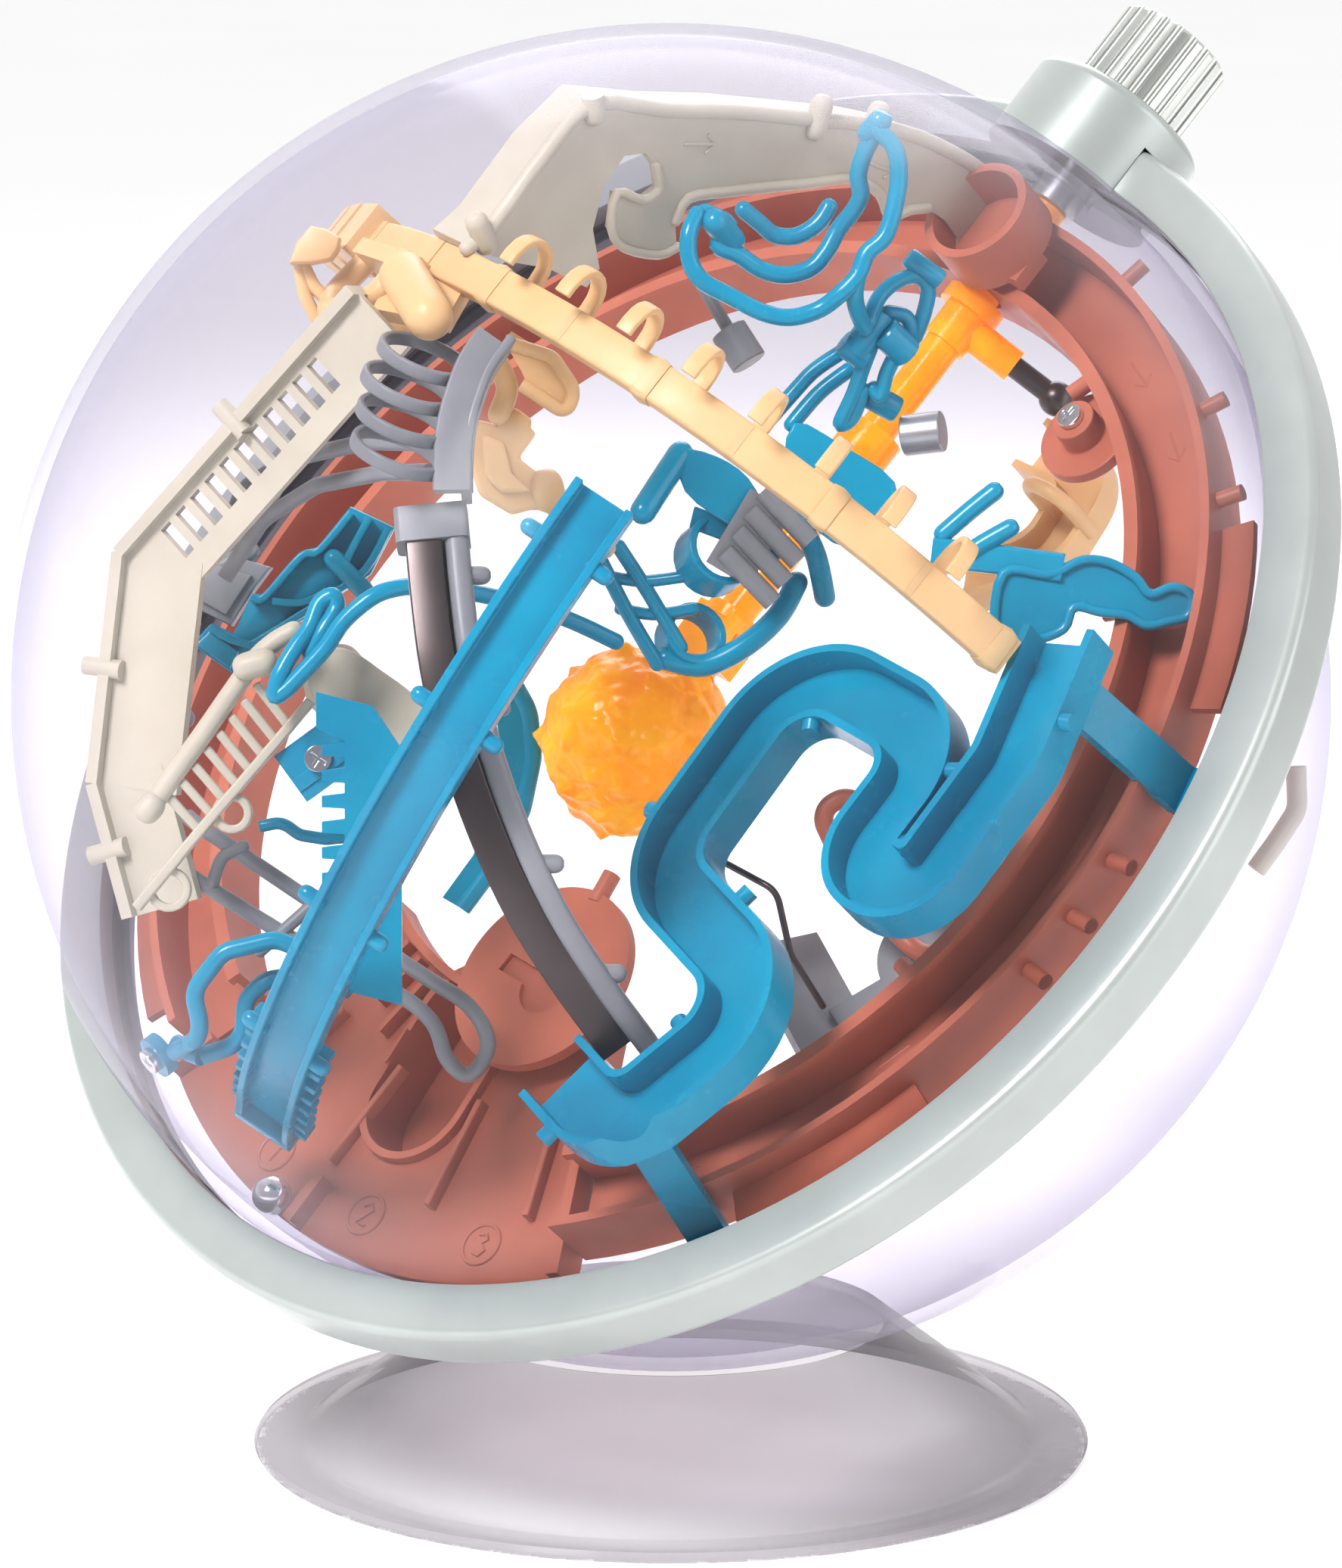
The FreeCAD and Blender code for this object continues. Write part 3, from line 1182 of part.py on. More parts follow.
make_stand()
make_shell("front_shell", 1)
make_shell("rear_shell", -1)
make_band()
make_hub()
make_knob()
make_shaft()
make_boulder()
make_crank()
make_main_ring()
make_platform()
make_keyhole_disc()
make_hub_cup()
make_screw_boss()
make_loop_frame()
make_serpent()
make_long_channel()
make_comb()
make_top_loops()
make_centre_bracket()
make_ring_cage()
make_screw_tab()
make_left_housing()
make_left_bracket()
make_curl_wire()
make_platform_arches()
make_right_tongue()
make_back_scoop()
make_twist_wire()
make_arc_rail()
make_ladder()
make_small_ladder()
make_top_arc()
make_drop_hoops()
make_crest()
make_crest_tray()
make_crest_tongue()
make_crest_loop()
make_cream_clips()
make_back_curve()
make_sand_arm()
make_rear_hook()
make_slide_rail()
make_slide_strip()
make_twin_rods()
make_arc_wires()
make_rear_panel()
make_link()
make_post_cap()
make_silver_cap()
make_dark_wire()
make_screws()
make_ball()
doc.recompute()

for item in doc.Objects:
    if "Invalid" in item.State or "Error" in item.State:
        raise RuntimeError("%s failed: %s" % (item.Label, item.State))
for part in PARTS:
    if part.Shape.isNull() or not part.Shape.isValid():
        raise RuntimeError("%s has a bad shape" % part.Label)

os.makedirs("parts", exist_ok=True)
for part in PARTS:
    part.Shape.exportStep("parts/%s.step" % part.Label)
    print("%-20s %8.1f mm3 %d solids" % (part.Label, part.Shape.Volume, len(part.Shape.Solids)))
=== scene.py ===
import json
from math import cos, pi, radians, sin, sqrt
import bmesh
import bpy
from mathutils import Matrix, Vector, noise

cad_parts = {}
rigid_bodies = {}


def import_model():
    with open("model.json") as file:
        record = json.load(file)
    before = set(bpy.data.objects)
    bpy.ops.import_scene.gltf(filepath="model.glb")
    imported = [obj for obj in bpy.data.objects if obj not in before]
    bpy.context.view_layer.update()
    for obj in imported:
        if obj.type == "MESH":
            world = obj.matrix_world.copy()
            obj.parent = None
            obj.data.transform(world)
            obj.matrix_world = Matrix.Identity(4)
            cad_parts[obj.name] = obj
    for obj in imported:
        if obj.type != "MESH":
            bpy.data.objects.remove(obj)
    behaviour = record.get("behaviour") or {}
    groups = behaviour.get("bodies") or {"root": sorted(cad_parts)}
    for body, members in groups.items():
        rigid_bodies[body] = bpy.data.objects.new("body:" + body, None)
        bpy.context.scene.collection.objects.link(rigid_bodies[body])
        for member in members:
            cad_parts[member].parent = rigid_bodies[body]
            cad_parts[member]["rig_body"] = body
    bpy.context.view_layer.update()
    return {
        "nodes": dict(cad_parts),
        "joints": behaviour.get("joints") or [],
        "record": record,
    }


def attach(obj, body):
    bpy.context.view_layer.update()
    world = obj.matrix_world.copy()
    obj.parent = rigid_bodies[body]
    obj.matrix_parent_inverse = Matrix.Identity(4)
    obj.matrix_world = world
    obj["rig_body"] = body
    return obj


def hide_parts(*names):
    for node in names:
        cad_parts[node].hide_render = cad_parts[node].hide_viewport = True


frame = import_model()
NODES = frame["nodes"]
SCENE = bpy.context.scene
MM = 0.001


# ---- The globe's own frame, read from the joints ----
# Its origin is the globe's centre, +Z is the band's axis and +X is the dial's axis.

JOINTS = {joint["name"]: joint for joint in frame["joints"]}
CENTRE = Vector(JOINTS["globe_tilt"]["pos_m"])
AXIS_Z = Vector(JOINTS["ball_roll"]["axis"]).normalized()
AXIS_X = Vector(JOINTS["dial_turn"]["axis"]).normalized()
AXIS_X = (AXIS_X - AXIS_Z * AXIS_X.dot(AXIS_Z)).normalized()
AXIS_Y = AXIS_Z.cross(AXIS_X)
TURN = Matrix((AXIS_X, AXIS_Y, AXIS_Z)).transposed()
GLOBE = Matrix.Translation(CENTRE) @ TURN.to_4x4() @ Matrix.Scale(MM, 4)
BODY_OF = {node: obj["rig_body"] for node, obj in NODES.items()}
SLOT_OF = {row["node"]: row["material_slot"] for row in frame["record"]["subparts"]}


# ---- Materials ----

def new_material(name):
    """A material with an empty node tree, and that tree."""
    material = bpy.data.materials.new(name)
    material.use_nodes = True
    tree = material.node_tree
    tree.nodes.clear()
    return material, tree


def plug(source, node, socket):
    """Link an output to a node's socket."""
    node.id_data.links.new(source, node.inputs[socket])


def tune(node, values):
    """Set a node's own sockets by name."""
    for socket, value in values.items():
        node.inputs[socket].default_value = value


def noise_node(tree, scale, detail=3.0, rough=0.55):
    """A noise texture in object space; scale is in repeats per metre."""
    place = tree.nodes.new("ShaderNodeTexCoord")
    grain = tree.nodes.new("ShaderNodeTexNoise")
    tune(grain, {"Scale": scale, "Detail": detail, "Roughness": rough})
    plug(place.outputs["Object"], grain, "Vector")
    return grain.outputs["Fac"]


def spread(tree, source, low, high, source_low=0.3, source_high=0.7):
    """Turn a source's span, by default the usual span of a noise, into values from low to high."""
    node = tree.nodes.new("ShaderNodeMapRange")
    tune(node, {"From Min": source_low, "From Max": source_high, "To Min": low, "To Max": high})
    plug(source, node, "Value")
    return node.outputs["Result"]


def blend_colour(tree, factor, first, second):
    """Mix two colours; sockets 6, 7 and output 2 are the mix node's colour sockets."""
    node = tree.nodes.new("ShaderNodeMix")
    node.data_type = "RGBA"
    plug(factor, node, "Factor")
    node.inputs[6].default_value = (*first, 1)
    node.inputs[7].default_value = (*second, 1)
    return node.outputs[2]


def bump(tree, source, strength, distance, normal=None):
    """Raise the surface by source, up to distance metres, over another bump's normal if given."""
    node = tree.nodes.new("ShaderNodeBump")
    tune(node, {"Strength": strength, "Distance": distance})
    plug(source, node, "Height")
    if normal is not None:
        plug(normal, node, "Normal")
    return node.outputs["Normal"]


def finish_with(tree, shader):
    """Send the shader to the material's output."""
    output = tree.nodes.new("ShaderNodeOutputMaterial")
    plug(shader, output, "Surface")


def moulded_plastic(name, light, dark, rough, glow=0.0, glow_depth=2.0 * MM, coat=0.0):
    """Injection-moulded plastic: faint flow marks in the colour, fine grain and uneven gloss."""
    material, tree = new_material(name)
    shader = tree.nodes.new("ShaderNodeBsdfPrincipled")
    flow_scale, gloss_scale, wave_scale, grain_scale = 38.0, 160.0, 55.0, 1500.0
    wave_depth, grain_depth = 0.4 * MM, 0.04 * MM
    flow = noise_node(tree, flow_scale, 4.0, 0.6)
    colour = blend_colour(tree, spread(tree, flow, 0.0, 1.0), dark, light)
    plug(colour, shader, "Base Color")
    gloss = spread(tree, noise_node(tree, gloss_scale, 4.0), rough * 0.8, rough * 1.25)
    plug(gloss, shader, "Roughness")
    wave = bump(tree, noise_node(tree, wave_scale, 1.0), 0.25, wave_depth)
    grain = bump(tree, noise_node(tree, grain_scale, 2.0), 0.06, grain_depth, wave)
    plug(grain, shader, "Normal")
    tune(shader, {"IOR": 1.5, "Specular IOR Level": 0.32, "Coat Weight": coat, "Coat Roughness": 0.12})
    if glow:
        warm = (1.0, 0.6, 0.4)
        tune(shader, {"Subsurface Weight": glow, "Subsurface Radius": warm, "Subsurface Scale": glow_depth})
    finish_with(tree, shader.outputs[0])
    return material


def clear_plastic(name, face, edge, haze, rough, bright=0.30):
    """A clear sheet: its tint and its gloss deepen where it is seen at a slant.

    face and edge are the tints seen straight on and at a slant, haze is the colour of the gloss, and
    bright is how much of the gloss shows at a slant.
    """
    edge_power = 3.2
    face_gloss = 0.012
    smear_scale, ripple_scale = 24.0, 14.0
    ripple_depth = 1.5 * MM
    material, tree = new_material(name)
    weight = tree.nodes.new("ShaderNodeLayerWeight")
    tune(weight, {"Blend": 0.5})
    sharp = tree.nodes.new("ShaderNodeMath")
    sharp.operation = "POWER"
    sharp.inputs[1].default_value = edge_power
    plug(weight.outputs["Facing"], sharp, 0)
    tint = blend_colour(tree, sharp.outputs[0], face, edge)
    through = tree.nodes.new("ShaderNodeBsdfTransparent")
    plug(tint, through, "Color")
    gloss = tree.nodes.new("ShaderNodeBsdfPrincipled")
    tune(gloss, {"Base Color": (*haze, 1), "IOR": 2.2})
    smears = spread(tree, noise_node(tree, smear_scale, 5.0, 0.65), rough * 0.5, rough * 1.8)
    plug(smears, gloss, "Roughness")
    ripple = bump(tree, noise_node(tree, ripple_scale, 1.0), 0.10, ripple_depth)
    plug(ripple, gloss, "Normal")
    amount = spread(tree, sharp.outputs[0], face_gloss, bright, 0.0, 1.0)
    mix = tree.nodes.new("ShaderNodeMixShader")
    plug(amount, mix, 0)
    plug(through.outputs[0], mix, 1)
    plug(gloss.outputs[0], mix, 2)
    finish_with(tree, mix.outputs[0])
    return material


def metal_paint(name, light, dark, metal, rough, flake):
    """Satin paint or turned metal: soft cloudy toning, uneven gloss and a fine flake."""
    cloud_scale, gloss_scale = 30.0, 75.0
    flake_depth = 0.03 * MM
    material, tree = new_material(name)
    shader = tree.nodes.new("ShaderNodeBsdfPrincipled")
    cloud = spread(tree, noise_node(tree, cloud_scale, 4.0, 0.6), 0.0, 1.0)
    plug(blend_colour(tree, cloud, dark, light), shader, "Base Color")
    gloss = spread(tree, noise_node(tree, gloss_scale, 3.0), rough * 0.92, rough * 1.12)
    plug(gloss, shader, "Roughness")
    plug(bump(tree, noise_node(tree, flake, 2.0), 0.10, flake_depth), shader, "Normal")
    tune(shader, {"Metallic": metal})
    finish_with(tree, shader.outputs[0])
    return material


def amber_plastic():
    """Translucent amber: deep orange with a warm glow inside, partly real subsurface light and partly a faint
    painted glow from emission, and small flow marks.
    """
    flow_scale, gloss_scale, pit_scale = 70.0, 220.0, 240.0
    pit_depth = 0.4 * MM
    glow_depth = 4.0 * MM
    material, tree = new_material("amber_translucent")
    shader = tree.nodes.new("ShaderNodeBsdfPrincipled")
    flow = spread(tree, noise_node(tree, flow_scale, 4.0, 0.6), 0.0, 1.0)
    colour = blend_colour(tree, flow, (0.98, 0.27, 0.0), (1.0, 0.50, 0.0))
    plug(colour, shader, "Base Color")
    plug(spread(tree, noise_node(tree, gloss_scale, 3.0), 0.16, 0.3), shader, "Roughness")
    plug(bump(tree, noise_node(tree, pit_scale, 3.0), 0.35, pit_depth), shader, "Normal")
    tune(shader, {"Subsurface Weight": 0.55, "Subsurface Radius": (1.0, 0.30, 0.02)})
    tune(shader, {"Subsurface Scale": glow_depth, "Specular IOR Level": 0.35})
    # Painted glow: a faint orange emission makes the amber shine as if lit from inside, though it is no lamp.
    tune(shader, {"Emission Color": (1.0, 0.32, 0.0, 1), "Emission Strength": 0.22})
    finish_with(tree, shader.outputs[0])
    return material


MATERIALS = {
    "terracotta": moulded_plastic(
        "terracotta_plastic", (0.560, 0.185, 0.108), (0.410, 0.124, 0.070), 0.40, glow=0.04),
    "blue": moulded_plastic("blue_plastic", (0.0, 0.310, 0.450), (0.0, 0.218, 0.345), 0.24, coat=0.10),
    "cream": moulded_plastic(
        "cream_plastic", (0.72, 0.495, 0.25), (0.66, 0.425, 0.19), 0.40, glow=0.12, glow_depth=3.0 * MM),
    "sand": moulded_plastic("sand_plastic", (0.56, 0.52, 0.405), (0.46, 0.425, 0.325), 0.42, glow=0.04),
    "cool_grey": moulded_plastic(
        "grey_plastic", (0.265, 0.275, 0.275), (0.185, 0.195, 0.20), 0.36, glow=0.02),
    "clear": clear_plastic(
        "clear_shell", (0.925, 0.916, 0.938), (0.69, 0.675, 0.745), (0.80, 0.79, 0.86), 0.10),
    "stand_clear": clear_plastic(
        "clear_stand", (0.845, 0.84, 0.85), (0.30, 0.293, 0.305), (0.50, 0.492, 0.50), 0.16, bright=0.5),
    "band_paint": metal_paint("band_paint", (0.350, 0.372, 0.362), (0.300, 0.320, 0.311), 0.30, 0.32, 2600.0),
    "knob_metal": metal_paint("knob_metal", (0.52, 0.53, 0.505), (0.40, 0.41, 0.39), 0.85, 0.30, 1500.0),
    "amber": amber_plastic(),
    "dark_steel": metal_paint("dark_steel", (0.12, 0.100, 0.090), (0.070, 0.058, 0.054), 0.9, 0.32, 900.0),
    "bright_steel": metal_paint("bright_steel", (0.80, 0.81, 0.83), (0.66, 0.67, 0.70), 1.0, 0.16, 900.0),
}
SATIN = metal_paint("satin_steel", (0.42, 0.43, 0.43), (0.33, 0.34, 0.34), 0.7, 0.36, 900.0)


# ---- Mesh helpers, in the globe's millimetres ----

def smooth_line(points, closed=False, steps=6):
    """A Catmull-Rom curve through the points."""
    points = [Vector(point) for point in points]
    count = len(points)
    line = []
    for i in range(count if closed else count - 1):
        if closed:
            p0, p1, p2, p3 = (points[(i + k) % count] for k in (-1, 0, 1, 2))
        else:
            p0, p1, p2, p3 = (points[min(max(i + k, 0), count - 1)] for k in (-1, 0, 1, 2))
        for step in range(steps):
            t = step / steps
            line.append(0.5 * (2 * p1 + (p2 - p0) * t + (2 * p0 - 5 * p1 + 4 * p2 - p3) * t * t
                               + (3 * p1 - 3 * p2 + p3 - p0) * t ** 3))
    if not closed:
        line.append(points[-1])
    return line


def round_section(width, height, corner):
    """A rectangle with rounded corners, as (side, up) points."""
    steps = 3
    outline = []
    for quarter in range(4):
        angle = quarter * pi / 2
        side = (width / 2 - corner) * (1 if quarter in (0, 3) else -1)
        up = (height / 2 - corner) * (1 if quarter in (0, 1) else -1)
        for step in range(steps + 1):
            turn = angle + step * pi / 2 / steps
            outline.append((side + corner * cos(turn), up + corner * sin(turn)))
    return outline


def circle_section(radius, sides=12):
    """A circle as (side, up) points."""
    return [(radius * cos(2 * pi * i / sides), radius * sin(2 * pi * i / sides)) for i in range(sides)]


def ring_faces(rings, sides, closed):
    """Faces between neighbouring rings of points, with flat ends on an open row of rings."""
    faces = []
    for i in range(rings if closed else rings - 1):
        here = i * sides
        there = (i + 1) % rings * sides
        for j in range(sides):
            after = (j + 1) % sides
            faces.append((here + j, here + after, there + after, there + j))
    if not closed:
        faces.append(tuple(reversed(range(sides))))
        faces.append(tuple((rings - 1) * sides + j for j in range(sides)))
    return faces


def sweep(path, section, facing=None, closed=False, soft_end=0.0):
    """Carry a section along a path. Its up side keeps to facing, or turns as little as it can.

    soft_end is the part of its size that the section loses at each end of an open path.
    """
    path = [Vector(point) for point in path]
    count = len(path)
    points = []
    fixed = Vector(facing) if facing else None
    up = fixed
    for i, point in enumerate(path):
        before = path[i - 1] if closed or i else point
        after = path[(i + 1) % count] if closed or i < count - 1 else point
        along = (after - before).normalized()
        if up is None:
            up = along.orthogonal()
        wanted = up if fixed is None else fixed
        up = (wanted - along * wanted.dot(along)).normalized()
        side = along.cross(up)
        at_end = not closed and i in (0, count - 1)
        size = 1.0 - soft_end if at_end else 1.0
        points += [point + side * a * size + up * b * size for a, b in section]
    return points, ring_faces(count, len(section), closed)


def rod(points, radius, closed=False, steps=6):
    """A round rod with domed ends along a smooth line."""
    line = smooth_line(points, closed, steps)
    section = circle_section(radius)
    sides = len(section)
    if closed:
        return sweep(line, section, closed=True)
    start = (line[0] - line[1]).normalized()
    end = (line[-1] - line[-2]).normalized()
    dome = [(0.92, 0.38), (0.71, 0.71), (0.38, 0.92)]
    head = [(line[0] + start * radius * out, size) for size, out in reversed(dome)]
    tail = [(line[-1] + end * radius * out, size) for size, out in dome]
    stops = head + [(point, 1.0) for point in line] + tail
    points, faces = sweep([point for point, size in stops], section)
    sized = []
    for i, (middle, size) in enumerate(stops):
        for point in points[i * sides:(i + 1) * sides]:
            sized.append(middle + (point - middle) * size)
    return sized, faces


def lathe(profile, steps):
    """Turn a closed profile of (radius, height) points about Z."""
    points = []
    for i in range(steps):
        angle = 2 * pi * i / steps
        points += [Vector((r * cos(angle), r * sin(angle), z)) for r, z in profile]
    return points, ring_faces(steps, len(profile), True)


def prism(outline, low, high, across, up, facing):
    """A flat outline of (across, up) points carried from depth low to high."""
    rings = [across * x + up * y + facing * depth for depth in (low, high) for x, y in outline]
    return rings, ring_faces(2, len(outline), False)


def smooth_outline(points, steps=4):
    """A closed Catmull-Rom curve through flat (across, up) points."""
    return [(point.x, point.y) for point in smooth_line([(x, y, 0) for x, y in points], True, steps)]


def together(shapes):
    """Several (points, faces) shapes as one."""
    points, faces = [], []
    for shape_points, shape_faces in shapes:
        base = len(points)
        points += shape_points
        faces += [tuple(base + index for index in face) for face in shape_faces]
    return points, faces


def kept_inside(shape, reach):
    """Points further than reach from the globe's centre move in to that sphere."""
    points, faces = shape
    points = [point * (reach / point.length) if point.length > reach else point for point in points]
    return points, faces


def new_piece(name, shape, place=GLOBE, sharp=40.0):
    """A mesh object in the world from a (points, faces) shape; edges over sharp degrees stay crisp."""
    points, faces = shape
    mesh = bpy.data.meshes.new(name)
    mesh.from_pydata([place @ Vector(point) for point in points], [], faces)
    form = bmesh.new()
    form.from_mesh(mesh)
    bmesh.ops.remove_doubles(form, verts=form.verts, dist=1e-7)
    bmesh.ops.recalc_face_normals(form, faces=form.faces)
    form.to_mesh(mesh)
    form.free()
    mesh.shade_smooth()
    mesh.set_sharp_from_angle(angle=radians(sharp))
    piece = bpy.data.objects.new(name, mesh)
    SCENE.collection.objects.link(piece)
    return piece


# ---- The leaning plane ----
# A plane across the globe that faces the front, on which most of the tracks and rods are laid out.

LEAN_ACROSS = Vector((0.606, -0.609, -0.511))
LEAN_FACING = Vector((-0.148, -0.718, 0.681))
LEAN_UP = LEAN_FACING.cross(LEAN_ACROSS)


def leaning_path(points):
    """A path given as (across, up, depth) on the leaning plane."""
    return [LEAN_ACROSS * x + LEAN_UP * y + LEAN_FACING * depth for x, y, depth in points]


def leaning(points, depth):
    """Flat (across, up) points on the leaning plane, all at one depth."""
    return leaning_path([(x, y, depth) for x, y in points])


def leaning_plate(outline, low, high):
    """A flat plate with square edges on the leaning plane."""
    return prism(outline, low, high, LEAN_ACROSS, LEAN_UP, LEAN_FACING)


def leaning_block(outline, low, high, corner=0.5):
    """A plate on the leaning plane whose edges are rounded by pulling its outline in near both faces."""
    middle = sum((Vector(point) for point in outline), Vector((0, 0))) / len(outline)
    soft = corner * 0.3
    stops = [(low, corner), (low + soft, soft), (low + corner, 0.0)]
    stops += [(high - corner, 0.0), (high - soft, soft), (high, corner)]
    points = []
    for depth, inset in stops:
        for corner_point in outline:
            out = Vector(corner_point) - middle
            spot = middle + out * max(0.0, 1 - inset / max(out.length, 0.01))
            points += leaning([spot], depth)
    return points, ring_faces(len(stops), len(outline), False)


def leaning_bar(line, width, height, corner, closed=False):
    """A bar with rounded corners along a line; its height stands out of the leaning plane."""
    return sweep(line, round_section(width, height, corner), LEAN_FACING, closed)


# ---- Pieces and the CAD nodes they stand for ----

REPLACED = []
ROOM = 97.0  # how far from the globe's centre the pieces inside the shells may reach


def settle(piece, node):
    """The piece stands for a CAD node: it takes the node's body, slot and material."""
    REPLACED.append(node)
    piece.data.materials.clear()
    piece.data.materials.append(MATERIALS[SLOT_OF[node]])
    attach(piece, BODY_OF[node])
    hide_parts(node)


def baked(piece):
    """Apply a piece's modifiers to its mesh."""
    graph = bpy.context.evaluated_depsgraph_get()
    mesh = bpy.data.meshes.new_from_object(piece.evaluated_get(graph))
    piece.modifiers.clear()
    piece.data = mesh


def round_edges(piece, width):
    """Round a piece's sharp edges by width millimetres, as a mould does."""
    rounding = piece.modifiers.new("rounding", "BEVEL")
    rounding.width = width * MM
    rounding.segments = 2
    rounding.limit_method = "ANGLE"
    rounding.angle_limit = radians(35)
    piece.data.shade_smooth()
    weigh = piece.modifiers.new("normals", "WEIGHTED_NORMAL")
    weigh.keep_sharp = True
    baked(piece)


def build(name, node, shapes, reach=None, rounding=None):
    """Join shapes into the piece that stands for a node: kept inside reach, edges rounded if asked."""
    shape = together(shapes)
    if reach:
        shape = kept_inside(shape, reach)
    piece = new_piece(name, shape)
    if rounding:
        round_edges(piece, rounding)
    settle(piece, node)


def cleaned(node):
    """A copy of a node's mesh whose split corners are joined and whose flat parts are whole faces."""
    form = bmesh.new()
    form.from_mesh(NODES[node].data)
    bmesh.ops.remove_doubles(form, verts=form.verts, dist=1e-6)
    bmesh.ops.dissolve_limit(form, angle_limit=radians(1.0), verts=form.verts, edges=form.edges)
    mesh = bpy.data.meshes.new(node + "_moulded")
    form.to_mesh(mesh)
    form.free()
    return mesh


def moulded(node, width):
    """A CAD shape with its sharp edges rounded by width millimetres."""
    piece = bpy.data.objects.new(node + "_moulded", cleaned(node))
    SCENE.collection.objects.link(piece)
    round_edges(piece, width)
    settle(piece, node)
    return piece


# ---- Clear globe and stand ----

GLOBE_R = 100.0
SHELL_WALL = 2.0
FLANGE_R = 101.6
FLANGE_T = 1.4
SEAM = 0.05
HOLE_R = 5.0
STEM_R = 4.05


def drill_stem_hole(piece, radius):
    """Cut the dial stem's round hole through a turned piece."""
    span = 12
    line = [(GLOBE_R - span, 0, 0), (GLOBE_R + span, 0, 0)]
    drill = new_piece("drill", sweep(line, circle_section(radius, 24)))
    cut = piece.modifiers.new("stem_hole", "BOOLEAN")
    cut.operation = "DIFFERENCE"
    cut.object = drill
    baked(piece)
    bpy.data.objects.remove(drill)
    piece.data.shade_smooth()
    piece.data.set_sharp_from_angle(angle=radians(40))


def make_band():
    """The band: a turned ring with rounded edges and a groove for the shells' flanges."""
    lip, outer, half = 100.3, 108.6, 4.8
    groove_r, groove = FLANGE_R + 0.2, FLANGE_T + 0.1
    bend, soft = 1.6, 0.4
    upper = [(groove_r, groove), (lip, groove), (lip, half - soft)]
    upper += [(lip + soft * 0.3, half - soft * 0.3), (lip + soft, half)]
    for i in range(7):
        turn = pi / 2 - i * pi / 12
        upper.append((outer - bend + bend * cos(turn), half - bend + bend * sin(turn)))
    profile = upper + [(r, -z) for r, z in reversed(upper)]
    band = new_piece("band_ring", lathe(profile, 180))
    drill_stem_hole(band, STEM_R)
    settle(band, "band")


def make_shell(node, side):
    """Half of the globe as two true spheres joined at the pole and at the flange."""
    rows = 44
    inner = GLOBE_R - SHELL_WALL
    root = sqrt(GLOBE_R ** 2 - FLANGE_T ** 2)
    first = FLANGE_T / GLOBE_R
    soft = 0.2
    angles = [first + (pi / 2 - first) * i / rows for i in range(rows + 1)]
    profile = [(GLOBE_R * cos(angle), GLOBE_R * sin(angle)) for angle in angles]
    profile += [(inner * sin(pi / 2 * i / rows), inner * cos(pi / 2 * i / rows)) for i in range(rows)]
    profile += [(inner, SEAM), (FLANGE_R - soft, SEAM), (FLANGE_R, SEAM + soft)]
    profile += [(FLANGE_R, FLANGE_T - soft), (FLANGE_R - soft, FLANGE_T), (root + soft / 2, FLANGE_T)]
    shell = new_piece(node + "_sphere", lathe([(r, z * side) for r, z in profile], 120))
    drill_stem_hole(shell, HOLE_R)
    settle(shell, node)


def make_stand():
    """A thin clear sheet: a flat round foot, a soft crease and a cone up to the globe's seat."""
    foot, crease, seat, top, sheet = 63.4, 55.0, 32.4, 19.3, 1.6
    half = sheet / 2
    low_r, low_z = crease - 0.7, sheet * 1.2
    seat_r, seat_z = seat + 0.4, top - 0.8
    line = [(foot - 0.5, half), (crease + 2.2, half), (crease + 0.7, sheet * 0.62), (low_r, low_z)]
    rows = 12
    for i in range(1, rows):
        line.append((low_r + (seat_r - low_r) * i / rows, low_z + (seat_z - low_z) * i / rows))
    line.append((seat_r, seat_z))
    profile = []
    for run in (line, line[::-1]):
        for i, (r, z) in enumerate(run):
            before = run[max(i - 1, 0)]
            after = run[min(i + 1, len(run) - 1)]
            along = Vector((after[0] - before[0], after[1] - before[1])).normalized()
            profile.append((r + along.y * half, max(z - along.x * half, 0.0)))
        end = Vector(run[-1])
        nose = end + (end - Vector(run[-2])).normalized() * 0.5
        profile.append((nose.x, nose.y))
    stand = new_piece("stand_sheet", lathe(profile, 144), Matrix.Scale(MM, 4), 50.0)
    settle(stand, "stand")


make_shell("front_shell", 1)
make_shell("rear_shell", -1)
make_stand()
make_band()


# ---- Cream arc rail ----

RAIL_SIDE = 22.0
RAIL_REACH = sqrt(84.0 ** 2 - RAIL_SIDE ** 2)
RAIL_HIGH = 3.2
RAIL_WIDE = 5.8
ALONG_X = Vector((1, 0, 0))


def rail_way(angle):
    """The way from the globe's middle to the rail at an angle, 90 being the band's axis."""
    return Vector((0, -cos(radians(angle)), sin(radians(angle))))


def rail_line(begin, end):
    """The rail's middle line from one angle to another, with a point about every two degrees."""
    reach = RAIL_REACH - RAIL_HIGH / 2
    count = int((end - begin) / 2.0) + 1
    angles = [begin + (end - begin) * i / count for i in range(count + 1)]
    return [ALONG_X * RAIL_SIDE + rail_way(angle) * reach for angle in angles]


def rail_collars(angles, half_span, section, soft_end):
    """Short thicker lengths of the rail, one round each angle."""
    lines = [rail_line(angle - half_span, angle + half_span) for angle in angles]
    return [sweep(line, section, ALONG_X, soft_end=soft_end) for line in lines]


def rail_hoop(angle):
    """A flat D-shaped strap that stands out beside the rail."""
    near, far, half = 2.2, 6.2, 3.6
    foot, round_start = near + 1.5, far - 2.0
    path = [(near, -half), (foot, -half - 0.1), (round_start, -half)]
    path += [(round_start + half * sin(radians(a)), -half * cos(radians(a))) for a in range(20, 180, 20)]
    path += [(round_start, half), (foot, half + 0.1), (near, half)]
    way = rail_way(angle)
    middle = ALONG_X * RAIL_SIDE + way * (RAIL_REACH + RAIL_HIGH / 2)
    line = [middle + ALONG_X * out + way * up for out, up in path]
    return sweep(line, round_section(1.05, 2.5, 0.3), ALONG_X.cross(way))


